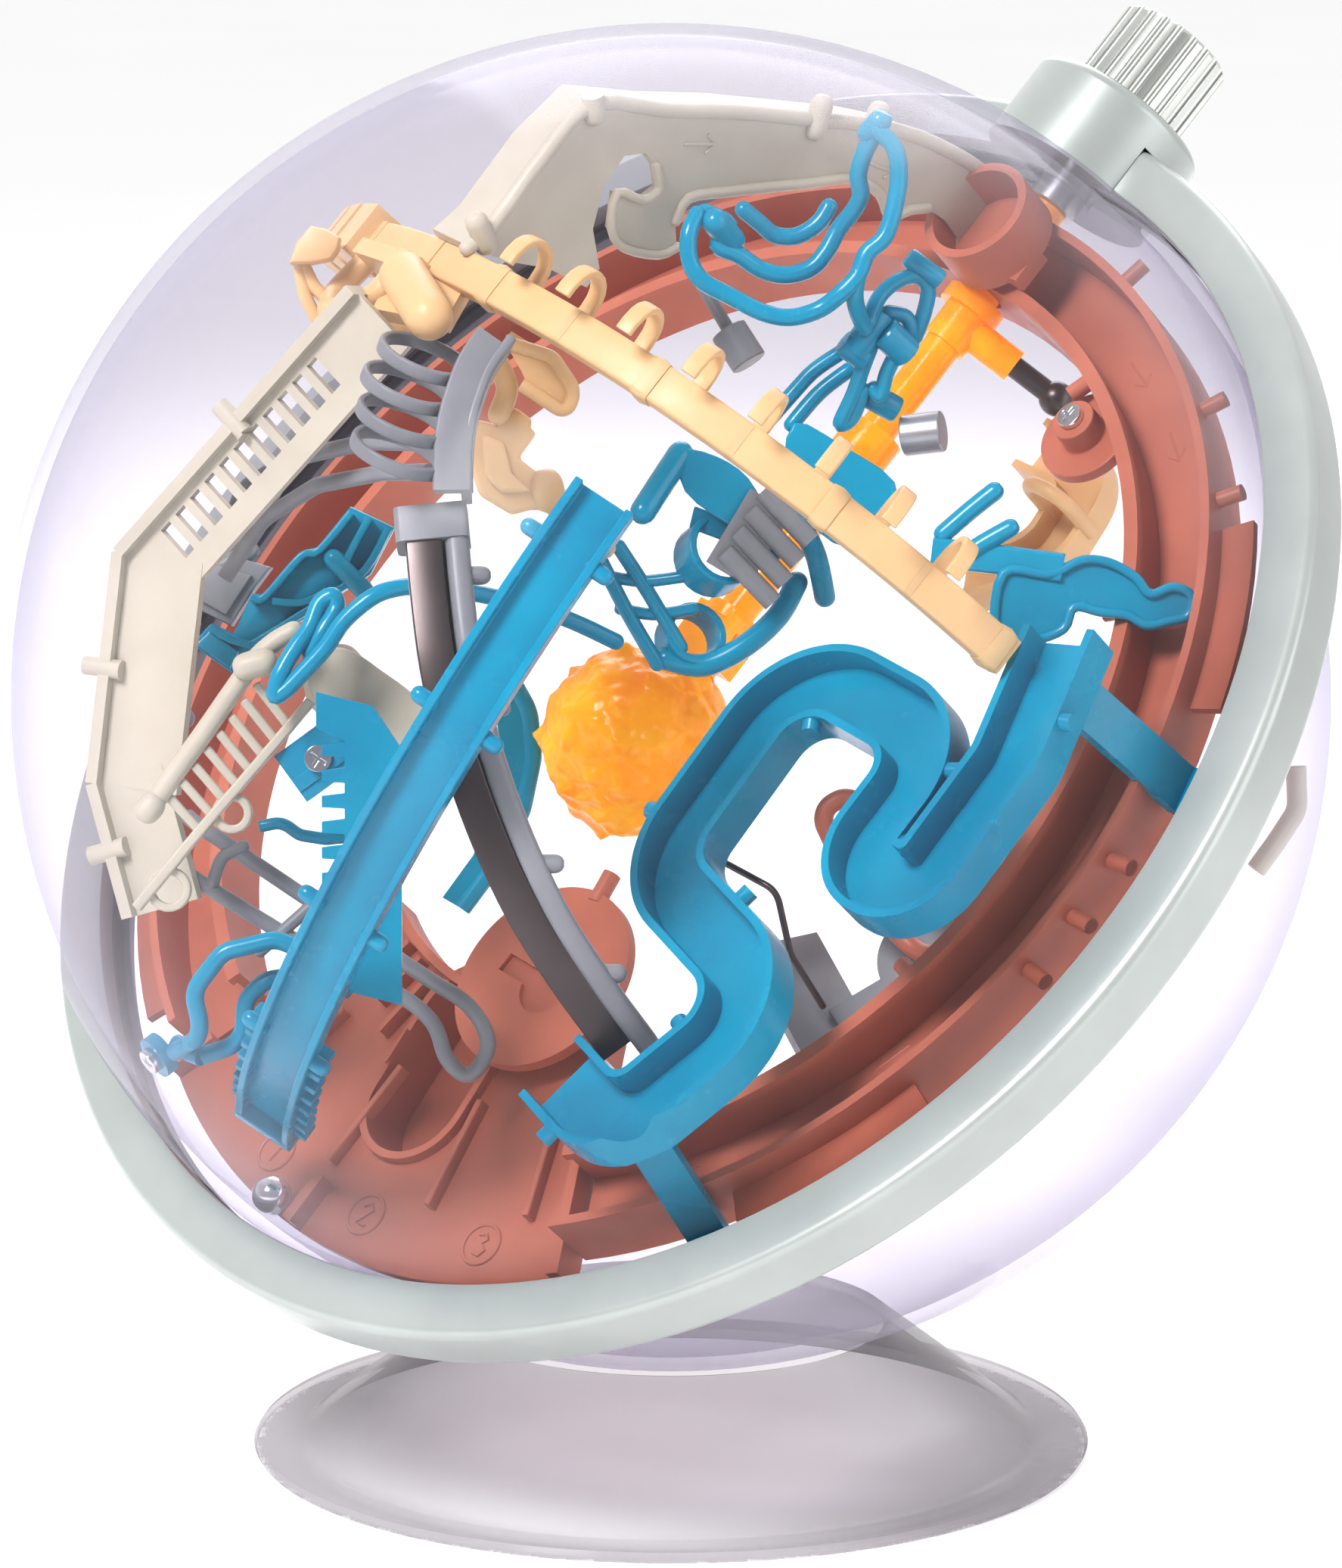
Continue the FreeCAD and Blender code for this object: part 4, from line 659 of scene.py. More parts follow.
def make_arc_rail():
    """A flat bar round the globe with clips, faint seams and a row of flat D-shaped hoops."""
    shapes = [sweep(rail_line(19, 110), round_section(RAIL_HIGH, RAIL_WIDE, 0.5), ALONG_X)]
    clip = round_section(RAIL_HIGH + 0.7, RAIL_WIDE + 0.9, 0.9)
    shapes += rail_collars((20.6, 42.6, 64.6, 86.6, 97.5), 1.0, clip, 0.08)
    seam = round_section(RAIL_HIGH + 0.3, RAIL_WIDE + 0.3, 0.6)
    shapes += rail_collars((31.5, 53.5, 75.5), 0.4, seam, 0.05)
    shapes += [rail_hoop(30 + 7.6 * i) for i in range(8)]
    build("arc_rail_hoops", "arc_rail", shapes, reach=ROOM + 0.3)


def make_crest_loop():
    """The thin cream loop and the rounded block at the crest's far end."""
    loop = [(-53.4, 63.0), (-51.6, 59.5), (-49.9, 57.6), (-47.2, 53.2), (-48.4, 51.5), (-50.7, 54.1),
            (-52.8, 58.3)]
    outline = [(-51.8, 67.8), (-49.4, 67.3), (-47.5, 66.1), (-47.8, 64.4), (-48.8, 63.0), (-51.6, 62.4),
               (-54.8, 62.4), (-53.8, 65.4)]
    shapes = [rod(leaning(loop, 30.0), 1.0, closed=True), leaning_block(outline, 28.0, 34.0, 0.9)]
    build("crest_loop_rod", "crest_loop", shapes, reach=ROOM + 0.2)


def make_cream_clips():
    """Chunky stepped blocks with a round boss, between the crest and the middle."""
    stair = [(-28.3, 39.9), (-25.2, 39.1), (-22.4, 41.6), (-19.8, 39.7), (-20.3, 38.5), (-19.2, 37.9),
             (-21.8, 34.2), (-19.1, 32.2), (-17.2, 32.4), (-15.3, 30.1), (-16.5, 26.8), (-20.3, 26.8),
             (-22.9, 26.1), (-27.5, 28.9), (-28.9, 33.3), (-28.9, 37.7)]
    shelf = [(-27.0, 37.6), (-24.0, 36.6), (-22.8, 32.0), (-20.0, 29.4), (-24.2, 29.2), (-26.6, 31.6)]
    shapes = [
        leaning_plate(stair, 33.0, 37.0),
        leaning_plate(shelf, 36.6, 38.6),
        rod(leaning([(-17.9, 30.4), (-17.7, 29.6), (-17.5, 28.8)], 36.0), 2.5, steps=2),
        rod(leaning([(-17.2, 27.8), (-13.8, 25.1), (-9.4, 21.4)], 33.5), 1.5),
        rod(leaning([(-24.6, 40.4), (-23.4, 44.0), (-24.6, 47.6)], 38.0), 1.6),
    ]
    build("cream_clips_blocks", "cream_clips", shapes, rounding=0.7)


make_arc_rail()
make_crest_loop()
make_cream_clips()


# ---- Amber boulder ----

def make_boulder():
    """A rough amber ball: soft hollows all over and small pointed bumps of three heights."""
    middle, radius = Vector((-8.4, 0, 0)), 14.2
    bumps, bump_reach = 58, 2.3
    golden = pi * (3 - sqrt(5))
    noise.seed_set(7)
    ways = []
    for i in range(bumps):
        up = 1 - 2 * (i + 0.5) / bumps
        across = sqrt(1 - up * up)
        way = Vector((across * cos(golden * i), across * sin(golden * i), up))
        ways.append((way + 0.16 * noise.noise_vector(way * 3.1)).normalized())
    form = bmesh.new()
    bmesh.ops.create_icosphere(form, subdivisions=6, radius=1.0)
    for vertex in form.verts:
        way = vertex.co.normalized()
        depth = 0.9 * noise.noise(way * 2.3) + 0.55 * noise.noise(way * 5.3 + Vector((4, 1, 2)))
        depth += 0.22 * noise.noise(way * 12.0)
        nearest = max(range(bumps), key=lambda i: ways[i].dot(way))
        gap = ways[nearest].angle(way) * radius
        tall = 0.5 + 0.9 * (nearest % 3) / 2
        depth += tall * max(0.0, 1 - gap / bump_reach) ** 1.6
        vertex.co = GLOBE @ (middle + way * (radius - 0.2 + depth))
    mesh = bpy.data.meshes.new("boulder_rough")
    form.to_mesh(mesh)
    form.free()
    mesh.shade_smooth()
    boulder = bpy.data.objects.new("boulder_rough", mesh)
    SCENE.collection.objects.link(boulder)
    settle(boulder, "boulder")


make_boulder()


# ---- Blue loops under the top arc ----

def make_top_loops():
    """Two nested loops and a stirrup of round blue rod that hang from the top arc's edge."""
    outer = [(29.3, 81.0, 39), (32.0, 78.3, 39), (32.6, 74.0, 39), (31.7, 68.7, 39), (30.4, 65.4, 39),
             (28.0, 63.2, 39), (26.8, 60.2, 39), (24.6, 57.8, 39), (21.4, 55.4, 38), (17.2, 54.2, 38),
             (13.2, 54.9, 38), (8.6, 57.2, 38), (4.6, 59.4, 38), (2.8, 62.2, 38), (2.6, 66.0, 38),
             (3.8, 69.0, 37)]
    inner = [(28.9, 80.0, 38), (27.6, 77.4, 37), (26.9, 74.6, 36), (27.3, 72.0, 35), (26.4, 69.9, 34),
             (24.2, 67.2, 33), (22.4, 64.0, 33), (20.2, 61.6, 33), (16.6, 60.6, 33), (13.0, 61.4, 33),
             (9.8, 63.4, 34), (6.8, 64.8, 35), (8.4, 67.6, 35), (5.0, 69.4, 36)]
    stirrup = [(23.0, 71.0, 26), (21.4, 68.6, 26), (18.4, 66.8, 26), (15.2, 66.9, 26), (12.9, 68.6, 27),
               (10.6, 70.4, 28)]
    leg = [(26.8, 60.4, 39), (26.3, 57.4, 38), (26.9, 54.8, 36), (27.9, 53.0, 34)]
    shapes = [rod(leaning_path(line), 1.3) for line in (outer, inner, stirrup, leg)]
    shapes.append(rod(leaning_path([(6.4, 68.0, 37), (8.8, 65.6, 34)]), 2.0))
    shapes.append(rod(leaning_path([(28.4, 80.6, 38), (30.0, 82.2, 39)]), 1.7))
    build("top_loops_rod", "top_loops", shapes, reach=ROOM + 0.2)


def make_ring_cage():
    """Bowed rods round a stubby barrel, with two legs and a collar below it."""
    bows = [
        [(28.4, 53.8, 34), (30.0, 57.4, 32), (32.6, 59.8, 31), (35.6, 60.6, 30), (37.2, 58.8, 29),
         (36.6, 55.2, 28), (35.4, 52.0, 27)],
        [(31.4, 55.4, 30), (34.0, 54.8, 29), (34.8, 52.4, 28), (33.4, 50.2, 27)],
        [(28.8, 50.2, 30), (27.8, 47.6, 29), (26.4, 43.6, 27), (24.6, 39.6, 25), (26.4, 40.6, 25),
         (27.8, 44.4, 27)],
        [(32.4, 49.2, 29), (31.2, 46.6, 28), (30.4, 43.6, 27), (29.4, 44.6, 27)],
        [(24.6, 50.0, 22), (20.8, 47.4, 22), (17.6, 44.0, 22), (14.4, 40.4, 22)],
        [(26.0, 47.6, 22), (21.6, 44.2, 22), (17.6, 39.6, 22)],
    ]
    shapes = [rod(leaning_path(line), 1.15) for line in bows]
    stubs = [
        ([(34.2, 63.4, 31), (39.0, 60.0, 30)], 1.5),
        ([(30.6, 52.8, 31), (34.4, 49.4, 29)], 2.4),
        ([(24.8, 51.2, 31), (28.2, 48.6, 30)], 2.0),
        ([(26.2, 49.4, 31), (30.4, 55.4, 31)], 2.1),
        ([(28.6, 44.0, 24), (33.0, 41.6, 23)], 2.0),
    ]
    chamfer = 0.3
    for line, radius in stubs:
        start, end = leaning_path(line)
        inset = (end - start).normalized() * chamfer
        path = [start, start + inset, end - inset, end]
        shapes.append(sweep(path, circle_section(radius, 24), soft_end=0.12))
    build("ring_cage_rods", "ring_cage", shapes)


make_top_loops()
make_ring_cage()


# ---- Grey drop hoops ----

def make_drop_hoops():
    """Four flat open hoops, one under the other, on the edge of a curved chute."""
    places = [(-34.4, 47.2, 58.0), (-36.6, 43.0, 60.5), (-37.2, 38.4, 62.5), (-37.9, 33.8, 64.0)]
    wide, turn = 6.4, radians(-22)
    across = LEAN_ACROSS * cos(turn) + LEAN_UP * sin(turn)
    lifted = LEAN_UP * cos(turn) - LEAN_ACROSS * sin(turn)
    deep = (LEAN_FACING * 0.93 - lifted * 0.37).normalized()
    normal = across.cross(deep)
    strap = round_section(0.95, 2.0, 0.3)
    turns = [radians(12 * i - 40) for i in range(30)]
    shapes = []
    for middle in leaning_path(places):
        line = [middle + across * wide * cos(t) + deep * wide * 0.95 * sin(t) for t in turns]
        shapes.append(sweep(line, strap, normal, closed=True))
    spine = [(-25.0, 50.0, 57.5), (-27.4, 46.4, 59.0), (-29.0, 42.2, 60.5), (-30.2, 37.6, 62.0),
             (-30.6, 33.0, 63.0), (-30.6, 28.6, 64.0)]
    run = smooth_line(leaning_path(spine), steps=5)
    shapes.append(leaning_bar([point + across * 2.4 for point in run], 1.4, 8.0, 0.5))
    for lift in (3.4, -3.6):
        wall = [point + across * 0.4 + LEAN_FACING * lift for point in run]
        shapes.append(leaning_bar(wall, 5.4, 1.2, 0.4))
    build("drop_hoops_bands", "drop_hoops", shapes, reach=ROOM)


make_drop_hoops()


# ---- Sand top arc ----

ARROW = [[(-3.0, 0), (3.0, 0)], [(1.2, 1.4), (3.0, 0), (1.2, -1.4)]]


def upright(points, y):
    """Flat (x, z) points on the upright plane through the dial's axis, y millimetres behind it."""
    return [Vector((x, y, z)) for x, z in points]


def make_top_arc():
    """The flanged arc from the crest to the dial cup: a web with a foot, lips, clamps and arrows."""
    edge = [(24.7, 81.7), (30, 80.6), (43.3, 81.2), (52.8, 79.8), (60, 68.8), (68, 58.0), (75.5, 46.6),
            (81.6, 37.4), (86.0, 29.4), (88.6, 22.8), (91.0, 14.3), (91.2, 8.6), (90.0, 4.8)]
    inside = [(85.3, 3.6), (82.6, 4.8), (80.1, 4.4), (79.5, 6.4), (81.5, 8.2), (81.8, 12.4),
              (80.9, 17.1), (78.5, 19.8), (75.5, 22.1), (76.6, 26.5), (74.8, 32.7), (69.6, 38.4),
              (64.1, 44.6), (58.8, 50.4), (53.9, 55.4), (50.2, 54.6), (47.8, 51.3), (44.9, 53.1),
              (41.8, 58.9), (42.2, 63.1), (46.4, 66.6), (48.6, 61.8), (51.6, 60.9), (53.4, 64.0),
              (53.5, 66.8), (50.9, 69.6), (45.5, 69.1), (40.2, 65.8), (37.0, 60.2), (33.7, 59.9),
              (31.5, 67.6), (28.4, 73.2)]
    web = prism(edge + inside, -4.6, -3.0, Vector((1, 0, 0)), Vector((0, 0, 1)), Vector((0, -1, 0)))
    lip = round_section(1.6, 8.0, 0.5)
    front = 2.9
    shapes = [
        web,
        sweep(upright(edge, 7.2), lip, (0, 1, 0)),
        rod(upright(edge, front + 0.3), 1.15, steps=3),
        rod(upright(inside[6:16], front), 0.85, steps=3),
        rod(upright(inside[16:24], front), 0.7, steps=3),
    ]
    for spot in upright([(27.5, 81.4), (52.4, 80.2), (76.6, 45.2), (82.6, 35.8)], front - 0.1):
        way = Vector((spot.x, 0, spot.z)).normalized()
        shapes.append(rod([spot - way * 1.6, spot, spot + way * 2.2], 1.7, steps=2))
    for x, z, turn in ((60.5, 60.0, -52), (79.4, 29.5, -68)):
        along, aside = cos(radians(turn)), sin(radians(turn))
        for line in ARROW:
            path = [(x + u * along - v * aside, z + u * aside + v * along) for u, v in line]
            shapes.append(sweep(upright(path, front + 0.05), circle_section(0.3, 8)))
    build("top_arc_web", "top_arc_track", shapes, reach=ROOM + 0.3, rounding=0.3)


make_top_arc()


# ---- Blue long channel and right tongue ----

def make_long_channel():
    """A shallow tray that hugs the shell, with pegs beside it and rows of teeth at its lower end."""
    axis = Vector((0.051, -0.778, -0.627)).normalized()
    middle = axis * -12.0
    start = Vector((3, -40, 69)) - middle
    start = (start - axis * start.dot(axis)).normalized()
    reach, half, wall, low, high = 86.4, 4.7, 1.2, -1.5, 2.2

    def way(turn):
        """The way from the middle to the tray's floor, turn degrees along it."""
        return Matrix.Rotation(radians(turn), 3, axis) @ start

    def beside(turn, lift, side, inset):
        """A place at one side of the tray, lift above its floor and inset from its outer face."""
        return middle + way(turn) * (reach + lift) + axis * side * (half - inset)

    inner = half - wall
    trough = [(low, -half), (high, -half), (high, -inner), (0, -inner), (0, inner), (high, inner),
              (high, half), (low, half)]
    shapes = [sweep([middle + way(turn * 2.0) * reach for turn in range(45)], trough, axis)]
    for side in (-1, 1):
        for turn in (6, 24, 47, 66):
            root = beside(turn, 0.6, side, 0.4)
            shapes.append(rod([root, root + axis * side * 1.0, root + axis * side * 1.9], 1.25, steps=2))
        for turn in [66 + 2.7 * i for i in range(8)]:
            root = beside(turn, -1.0, side, 0.5)
            tooth = [root, root + axis * side * 2.3]
            shapes.append(sweep(tooth, round_section(3.4, 1.7, 0.25), way(turn).cross(axis), soft_end=0.15))
    stop = [middle + way(turn) * (reach + 0.6) for turn in (86.2, 88.0)]
    shapes.append(sweep(stop, round_section(3.6, half * 2 + 0.6, 0.5), axis))
    build("long_channel_tray", "long_channel", shapes, reach=ROOM, rounding=0.25)


def make_right_tongue():
    """A curved tongue with a raised rim, a ramp, and a two-armed fork above it."""
    tongue = [(47.0, 17.4), (52.8, 17.2), (54.9, 17.6), (58.2, 19.2), (61.9, 18.9), (65.7, 16.8),
              (67.8, 14.4), (71.0, 15.4), (73.6, 14.2), (73.2, 11.4), (70.5, 10.6), (67.3, 10.0),
              (64.6, 11.4), (60.8, 11.9), (57.0, 12.6), (55.5, 9.5), (51.0, 8.0), (46.0, 9.0)]
    outline = smooth_outline(tongue)
    ramp = [(32, -47, 21.6), (36.5, -53.5, 17), (41, -61, 12.6)]
    shapes = [
        leaning_plate(outline, 44.6, 46.6),
        sweep(leaning(outline, 46.8), circle_section(0.75, 10), closed=True),
        rod([(35, -47, 22), (40, -48.5, 22), (44, -50, 22)], 1.35, steps=2),
        rod([(32, -50, 20), (37, -52, 19.5), (41, -54, 19)], 1.35, steps=2),
        leaning_bar(smooth_line(ramp), 4.2, 2.4, 0.6),
    ]
    build("right_tongue_chute", "right_tongue", shapes, reach=ROOM, rounding=0.25)


def make_centre_bracket():
    """Curved plates, a drum, a hooked arm and a nest of thin struts in the middle."""
    left_plate = [(1.4, 35.4), (6.6, 34.6), (11.2, 31.4), (13.6, 26.2), (12.6, 22.8), (8.0, 25.0),
                  (2.0, 29.6)]
    right_plate = [(17.8, 39.6), (25.0, 36.2), (32.4, 31.0), (31.6, 24.6), (25.4, 21.6), (19.8, 25.4),
                   (16.4, 31.0)]
    crosspiece = [(3.4, 27.6), (16.6, 22.4), (15.6, 19.6), (2.6, 24.4)]
    shapes = [
        leaning_plate(smooth_outline(left_plate, 3), 30.6, 32.6),
        leaning_plate(smooth_outline(right_plate, 3), 26.0, 28.2),
        leaning_plate(crosspiece, 25.6, 29.4),
    ]
    drum = (LEAN_ACROSS * 0.45 + LEAN_UP * 0.35 + LEAN_FACING).normalized()
    side = drum.orthogonal().normalized()
    other = drum.cross(side)
    turns = [radians(15 * i) for i in range(24)]
    for spot, radius, deep in (((6.6, 20.6, 27.0), 5.0, 6.4), ((2.8, 8.6, 22.0), 4.2, 5.0)):
        middle = leaning_path([spot])[0]
        line = [middle + (side * cos(t) + other * sin(t)) * radius for t in turns]
        shapes.append(sweep(line, round_section(1.2, deep, 0.35), drum, closed=True))
    rods = [
        ([(1.4, 35.0, 31), (-1.2, 31.0, 33), (-4.0, 26.6, 35)], 1.9),
        ([(-0.8, 5.6, 24), (4.7, 4.6, 24), (10.7, 7.4, 24), (15.6, 11.8, 23), (18.3, 16.6, 22)], 1.7),
        ([(-10.6, 20.6, 27), (-6.4, 12.4, 26), (-2.0, 4.8, 25)], 1.1),
        ([(-7.6, 21.8, 27), (-3.2, 15.0, 26), (1.4, 7.2, 25)], 1.1),
        ([(-9.6, 17.6, 26), (-4.2, 16.8, 26), (1.6, 17.4, 27)], 0.9),
        ([(-7.4, 12.8, 25), (-2.4, 12.0, 25), (3.2, 12.8, 25)], 0.9),
        ([(18.4, 25.6, 27), (21.0, 20.6, 25), (22.4, 14.6, 22)], 1.6),
    ]
    shapes += [rod(leaning_path(line), radius) for line, radius in rods]
    build("centre_bracket_plates", "centre_bracket", shapes, rounding=0.3)


make_long_channel()
make_right_tongue()
make_centre_bracket()


# ---- Left side: housing, bracket, ladder, bent rods and slide ----

def make_left_housing():
    """A grey stepped housing: a lidded box, two side boxes, pegs, ribs and a strip above."""
    box = [(-72.5, 14.5), (-68.3, 22.2), (-59.1, 19.3), (-62.0, 15.4), (-65.0, 10.6)]
    lid = [(-70.3, 14.9), (-67.6, 19.9), (-61.8, 18.0), (-63.6, 15.2), (-65.6, 12.2)]
    upper = [(-76.6, 15.9), (-69.8, 11.1), (-71.3, 7.7), (-77.1, 7.2)]
    lower = [(-77.8, 7.2), (-70.8, 4.3), (-72.2, 1.4), (-78.3, 0.9)]
    strip = [(-47.5, 49.4), (-51.4, 46.5), (-62.0, 32.9), (-68.3, 22.2), (-63.0, 21.0), (-55.2, 35.3),
             (-47.5, 44.1)]
    shapes = [
        leaning_block(box, 3.0, 11.0),
        leaning_block(lid, 10.6, 12.0, 0.4),
        leaning_block(upper, 3.0, 9.0),
        leaning_block(lower, 3.0, 8.0),
        leaning_block(strip, 3.0, 5.0, 0.4),
    ]
    pegs = [
        ([(-78.8, -1.1), (-72.0, -3.0)], 7.0, 1.5),
        ([(-78.8, -6.9), (-73.7, -8.8)], 7.0, 1.5),
        ([(-75.4, 4.6), (-75.6, -8.0)], 5.0, 1.1),
        ([(-66.4, 19.4), (-62.0, 21.8)], 10.0, 1.3),
        ([(-61.4, 30.0), (-60.4, 27.6)], 6.4, 1.3),
    ]
    shapes += [rod(leaning(line, depth), radius, steps=2) for line, depth, radius in pegs]
    for x, y in ((-75.2, 13.4), (-73.6, 10.2), (-76.0, 5.4), (-74.4, 2.6)):
        rib = [(x - 1.4, y + 0.6), (x + 2.6, y - 1.0)]
        shapes.append(leaning_bar(leaning(rib, 9.0), 0.9, 1.4, 0.3))
    build("left_housing_boxes", "left_housing", shapes)


def make_left_bracket():
    """A blue stepped bracket: a plate with a raised foot, rims along its edges and across it, and a peg."""
    plate = [(-70.7, 7.9), (-64.6, 3.5), (-63.1, 6.6), (-61.8, 7.1), (-55.0, 11.0), (-50.1, 14.4),
             (-44.3, 18.2), (-40.7, 25.1), (-47.2, 28.2), (-52.1, 22.2), (-54.5, 21.6), (-59.8, 15.3),
             (-61.8, 15.3), (-64.7, 9.1), (-68.0, 10.8)]
    foot = [(-70.0, 7.9), (-64.9, 4.3), (-63.6, 6.8), (-67.8, 10.0)]
    rims = [
        [(-67.8, 10.4), (-64.9, 8.6), (-61.6, 7.8)],
        [(-61.6, 14.8), (-59.8, 14.8), (-54.4, 20.8), (-51.8, 21.6), (-47.0, 27.2)],
        [(-61.8, 7.8), (-55.2, 11.8), (-50.3, 15.0), (-45.0, 18.8), (-41.6, 24.8)],
        [(-58.6, 14.2), (-54.2, 14.0), (-50.6, 15.8)],
        [(-44.4, 26.4), (-47.6, 20.4), (-48.4, 17.4)],
    ]
    shapes = [leaning_block(plate, 8.5, 11.5, 0.4), leaning_block(foot, 11.3, 13.4, 0.4)]
    for rim in rims:
        shapes.append(leaning_bar(smooth_line(leaning(rim, 12.6), steps=4), 1.1, 3.2, 0.35))
    shapes.append(rod(leaning([(-49.6, 20.4), (-45.2, 15.8)], 13.6), 1.5, steps=2))
    build("left_bracket_plate", "left_bracket", shapes)


def make_small_ladder():
    """A round rail and a flat rail with rungs, two eyelets and a wide panel behind."""
    top = [(-73.7, -15.4), (-70.2, -10.4), (-66.6, -5.4), (-59.7, 4.4), (-56.6, 7.6), (-53.6, 9.4)]
    low = [(-76.0, -29.8), (-66.7, -18.6), (-58.9, -9.6), (-51.1, -0.4)]
    panel = [(-52.2, 6.0), (-46.9, 7.1), (-41.5, 3.9), (-35.1, -1.5), (-35.1, -7.9), (-41.5, -6.8),
             (-46.9, -5.2), (-51.1, -0.4)]
    shapes = [
        rod(leaning(top, 45.0), 1.45),
        leaning_bar(smooth_line(leaning(low, 43.5), steps=4), 1.5, 3.4, 0.4),
        leaning_plate(smooth_outline(panel, 3), 37.0, 38.6),
        rod(leaning([(-60.2, 4.4), (-57.6, 5.0)], 46.6), 2.0, steps=2),
        rod(leaning([(-74.2, -16.0), (-73.6, -15.2)], 45.4), 1.9, steps=2),
    ]
    for i in range(8):
        rung = [(-59.0 - 1.75 * i, 2.0 - 2.3 * i, 44.4), (-54.4 - 1.78 * i, -4.0 - 2.15 * i, 43.6)]
        shapes.append(leaning_bar(leaning_path(rung), 1.3, 1.6, 0.35))
    for x, y, radius in ((-62.4, -16.4, 2.3), (-71.4, -27.2, 2.6)):
        eyelet = [(x + u, y + v) for u, v in circle_section(radius, 18)]
        shapes.append(leaning_bar(leaning(eyelet, 43.0), 1.2, 2.4, 0.35, closed=True))
    build("small_ladder_rails", "small_ladder", shapes, reach=ROOM + 0.2, rounding=0.25)


def make_curl_wire():
    """A blue rod that curls back on itself in two loops."""
    curl = [(-8, 8.0, 32), (-16, 11.6, 36), (-26, 14.4, 42), (-34.9, 15.6, 47), (-39.1, 15.3, 49),
            (-42.3, 14.0, 50), (-46.1, 10.8, 50), (-48.7, 7.1, 50), (-51.9, 3.6, 50), (-54.6, 0.9, 50),
            (-55.9, 0.4, 50), (-55.1, 3.4, 50), (-53.0, 7.1, 49), (-51.1, 9.9, 48), (-49.8, 13.2, 47),
            (-47.9, 14.4, 47), (-47.4, 12.6, 47), (-49.2, 9.4, 48), (-51.0, 6.2, 48)]
    build("curl_wire_rod", "curl_wire", [rod(leaning_path(curl), 1.25)], reach=ROOM)


def make_twin_rods():
    """Paired grey rods joined by a U bend, with two bridges that end in round tips."""
    line = [(-69.4, -17.2), (-67.2, -18.9), (-48.7, -31.4), (-35.6, -40.1), (-29.1, -44.5), (-26.4, -49.9),
            (-29.1, -54.3), (-32.3, -52.1), (-34.5, -46.7), (-40.0, -42.3), (-51.9, -36.3), (-70.4, -24.9),
            (-72.4, -23.4)]
    bridges = [
        [(-61.6, -21.4), (-64.6, -23.0), (-66.0, -26.6)],
        [(-48.4, -26.6), (-52.6, -30.6), (-59.2, -36.4)],
    ]
    shapes = [rod(leaning(line, 32.0), 1.15, steps=5)]
    shapes += [rod(leaning(bridge, 32.6), 0.95) for bridge in bridges]
    build("twin_rods_bent", "twin_rods", shapes, reach=ROOM)


# The slide's middle line, as (across, up, depth) on the leaning plane.
SLIDE = [(-34.3, 25.8, 62.0), (-33.2, 14.8, 66.0), (-31.7, 3.9, 69.0), (-29.2, -6.9, 70.0),
         (-24.9, -19.1, 70.0), (-19.8, -30.0, 68.5), (-13.7, -39.6, 66.0), (-7.7, -48.0, 62.0)]


def slide_line(shift, lift):
    """The slide's middle line, moved across by shift and towards the shell by lift."""
    points = leaning_path(SLIDE)
    return smooth_line([point + LEAN_ACROSS * shift + point.normalized() * lift for point in points])


def make_slide_rail():
    """A thick grey side rail with round pegs, a floor under the steel strip and a collar on top."""
    side_rail = slide_line(4.3, 0.2)
    shapes = [
        leaning_bar(side_rail, 3.3, 5.0, 1.2),
        leaning_bar(slide_line(0.6, -2.4), 6.2, 1.3, 0.4),
        leaning_bar(slide_line(-3.0, -0.9), 0.8, 3.8, 0.3),
        leaning_bar(slide_line(0.9, 0.0)[:4], 10.2, 5.8, 0.9),
    ]
    for place in (0.14, 0.38, 0.62, 0.84):
        root = side_rail[int(place * (len(side_rail) - 1))] + LEAN_ACROSS * 1.2
        shapes.append(rod([root, root + LEAN_ACROSS * 0.9, root + LEAN_ACROSS * 1.8], 1.35, steps=2))
    build("slide_rail_arc", "slide_rail", shapes)


def make_slide_strip():
    """The dark brushed steel strip that the ball rides on."""
    build("slide_strip_arc", "slide_strip", [leaning_bar(slide_line(-0.1, 0.6)[1:], 5.0, 3.6, 0.25)])


make_left_housing()
make_left_bracket()
make_small_ladder()
make_curl_wire()
make_twin_rods()
make_slide_rail()
make_slide_strip()


# ---- Moulded marks on the terracotta pieces ----

# Heights along the band's axis, and digits as strokes about 3.6 mm tall.
PLATFORM_TOP = -4.75
RING_FLOOR = -4.8
DIGITS = {
    "1": [[(-0.6, 1.0), (0.2, 1.8), (0.2, -1.8)]],
    "2": [[(-1.0, 1.1), (0.0, 1.8), (1.0, 1.0), (-1.0, -1.7), (1.1, -1.7)]],
    "3": [[(-0.9, 1.5), (0.4, 1.7), (0.9, 0.9), (0.0, 0.1), (1.0, -0.9), (0.2, -1.8), (-1.0, -1.4)]],
}


def flat_place(radius, angle, height):
    """A place over the band's plane, and the turn that makes +Y point outwards there."""
    spin = Matrix.Rotation(radians(angle - 90), 3, "Z")
    return Vector((radius * cos(radians(angle)), radius * sin(radians(angle)), height)), spin


def drawn(lines, spot, spin):
    """Raised strokes along flat lines, turned by spin and set down at spot."""
    stroke = circle_section(0.28, 8)
    return [sweep([spot + spin @ Vector((x, y, 0)) for x, y in line], stroke) for line in lines]


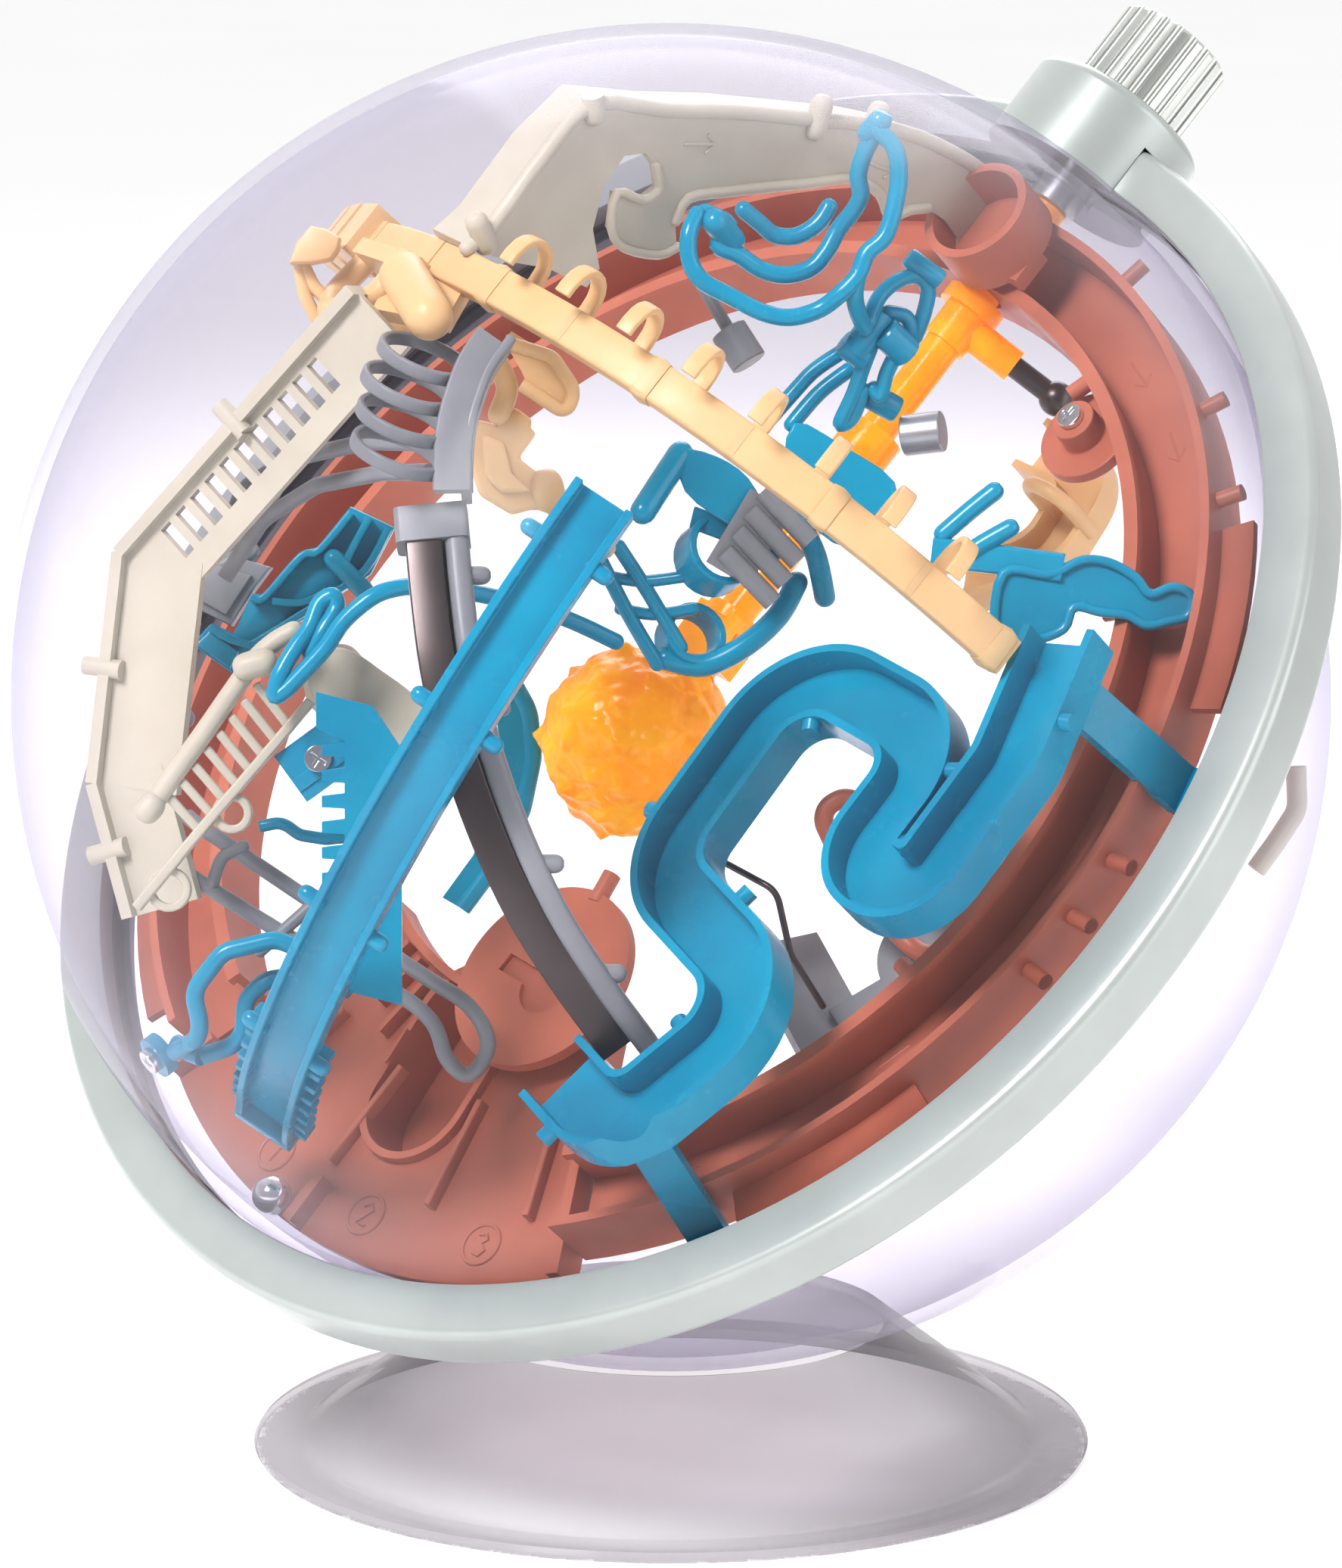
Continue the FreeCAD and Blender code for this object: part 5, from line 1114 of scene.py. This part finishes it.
def make_marks():
    """Start circles with plain numbers and low ribs on the platform, and plain arrows along the ring."""
    shapes = []
    half_sunk = 0.05
    half_turn = Matrix.Rotation(pi, 3, "Z")
    for digit, angle in (("1", 172.0), ("2", 187.0), ("3", 202.0)):
        spot, spin = flat_place(89.5, angle, PLATFORM_TOP + half_sunk)
        circle = [spot + Vector((x, y, 0)) for x, y in circle_section(3.2, 24)]
        shapes.append(sweep(circle, circle_section(0.3, 8), closed=True))
        shapes += drawn(DIGITS[digit], spot, spin @ half_turn)
    arrows = ((84.4, -22.6), (84.4, -34.0), (81.0, -111.0), (81.3, -135.9), (84.0, 40.0), (84.0, 62.0))
    for radius, angle in arrows:
        spot, spin = flat_place(radius, angle, RING_FLOOR + half_sunk)
        shapes += drawn(ARROW, spot, spin)
    for angle in (164.5, 179.5, 194.5, 207.0):
        ends = [flat_place(radius, angle, PLATFORM_TOP + 0.9)[0] for radius in (68.0, 85.5)]
        shapes.append(sweep(ends, round_section(1.1, 2.4, 0.35), (0, 0, 1)))
    return new_piece("start_marks", together(shapes))


marks = make_marks()
marks.data.materials.append(MATERIALS["terracotta"])
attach(marks, BODY_OF["start_platform"])


# ---- The rest, from the CAD shapes ----

EDGE = 0.3
SOFTER_EDGES = {"crest": 0.8, "crest_tray": 0.4}
for node_name in sorted(set(NODES) - set(REPLACED)):
    rest_piece = moulded(node_name, SOFTER_EDGES.get(node_name, EDGE))
    if node_name == "silver_cap":
        rest_piece.data.materials[0] = SATIN


# ---- Floor, light and camera ----

def add_floor():
    """A plain white floor, large enough to reach the camera's horizon."""
    half = 8.0
    corners = [(-half, -half, 0), (half, -half, 0), (half, half, 0), (-half, half, 0)]
    mesh = bpy.data.meshes.new("floor")
    mesh.from_pydata(corners, [], [(0, 1, 2, 3)])
    floor = bpy.data.objects.new("floor", mesh)
    SCENE.collection.objects.link(floor)
    material, tree = new_material("floor_white")
    shader = tree.nodes.new("ShaderNodeBsdfPrincipled")
    cloud = spread(tree, noise_node(tree, 3.0), 0.0, 1.0)
    colour = blend_colour(tree, cloud, (0.93, 0.93, 0.93), (0.95, 0.95, 0.95))
    plug(colour, shader, "Base Color")
    tune(shader, {"Roughness": 0.55, "Specular IOR Level": 0.2})
    tune(shader, {"Emission Color": (1, 1, 1, 1), "Emission Strength": 0.10})
    finish_with(tree, shader.outputs[0])
    mesh.materials.append(material)


def add_light(name, place, size, power):
    """A square soft light of size metres and power watts that looks at the globe's centre."""
    lamp = bpy.data.lights.new(name, "AREA")
    lamp.size = size
    lamp.energy = power
    light = bpy.data.objects.new(name, lamp)
    SCENE.collection.objects.link(light)
    light.location = place
    light.rotation_mode = "QUATERNION"
    light.rotation_quaternion = (CENTRE - Vector(place)).to_track_quat("-Z", "Y")


def add_world():
    """A white studio: bright behind the object and above it, dimmer on the camera's side."""
    world = bpy.data.worlds.new("studio")
    SCENE.world = world
    world.use_nodes = True
    tree = world.node_tree
    place = tree.nodes.new("ShaderNodeTexCoord")
    split = tree.nodes.new("ShaderNodeSeparateXYZ")
    plug(place.outputs["Generated"], split, 0)
    strength = spread(tree, split.outputs["Y"], 0.34, 0.97, -0.55, 0.35)
    back = tree.nodes["Background"]
    tune(back, {"Color": (1, 1, 1, 1)})
    plug(strength, back, "Strength")


def add_camera():
    """The camera looks along +Y, a little down, with the globe's centre on its optical axis."""
    distance = 0.886
    elevation = radians(9.34)
    lens = bpy.data.cameras.new("camera")
    lens.sensor_width = 36.0
    lens.lens = 136.2683
    lens.shift_y = -0.05531
    lens.clip_start = 0.01
    lens.clip_end = 100.0
    camera = bpy.data.objects.new("camera", lens)
    SCENE.collection.objects.link(camera)
    back = Vector((0, -cos(elevation), sin(elevation)))
    camera.location = CENTRE + back * distance
    camera.rotation_mode = "QUATERNION"
    camera.rotation_quaternion = (-back).to_track_quat("-Z", "Y")
    SCENE.camera = camera


add_floor()
add_world()
add_light("key", (-0.55, -0.75, 0.95), 0.38, 19.5)
add_light("fill", (0.95, -0.55, 0.45), 0.8, 5.0)
add_light("back", (0.1, 0.9, 0.9), 0.8, 8.0)
add_camera()
SCENE.view_settings.view_transform = "Standard"
SCENE.view_settings.look = "Medium High Contrast"
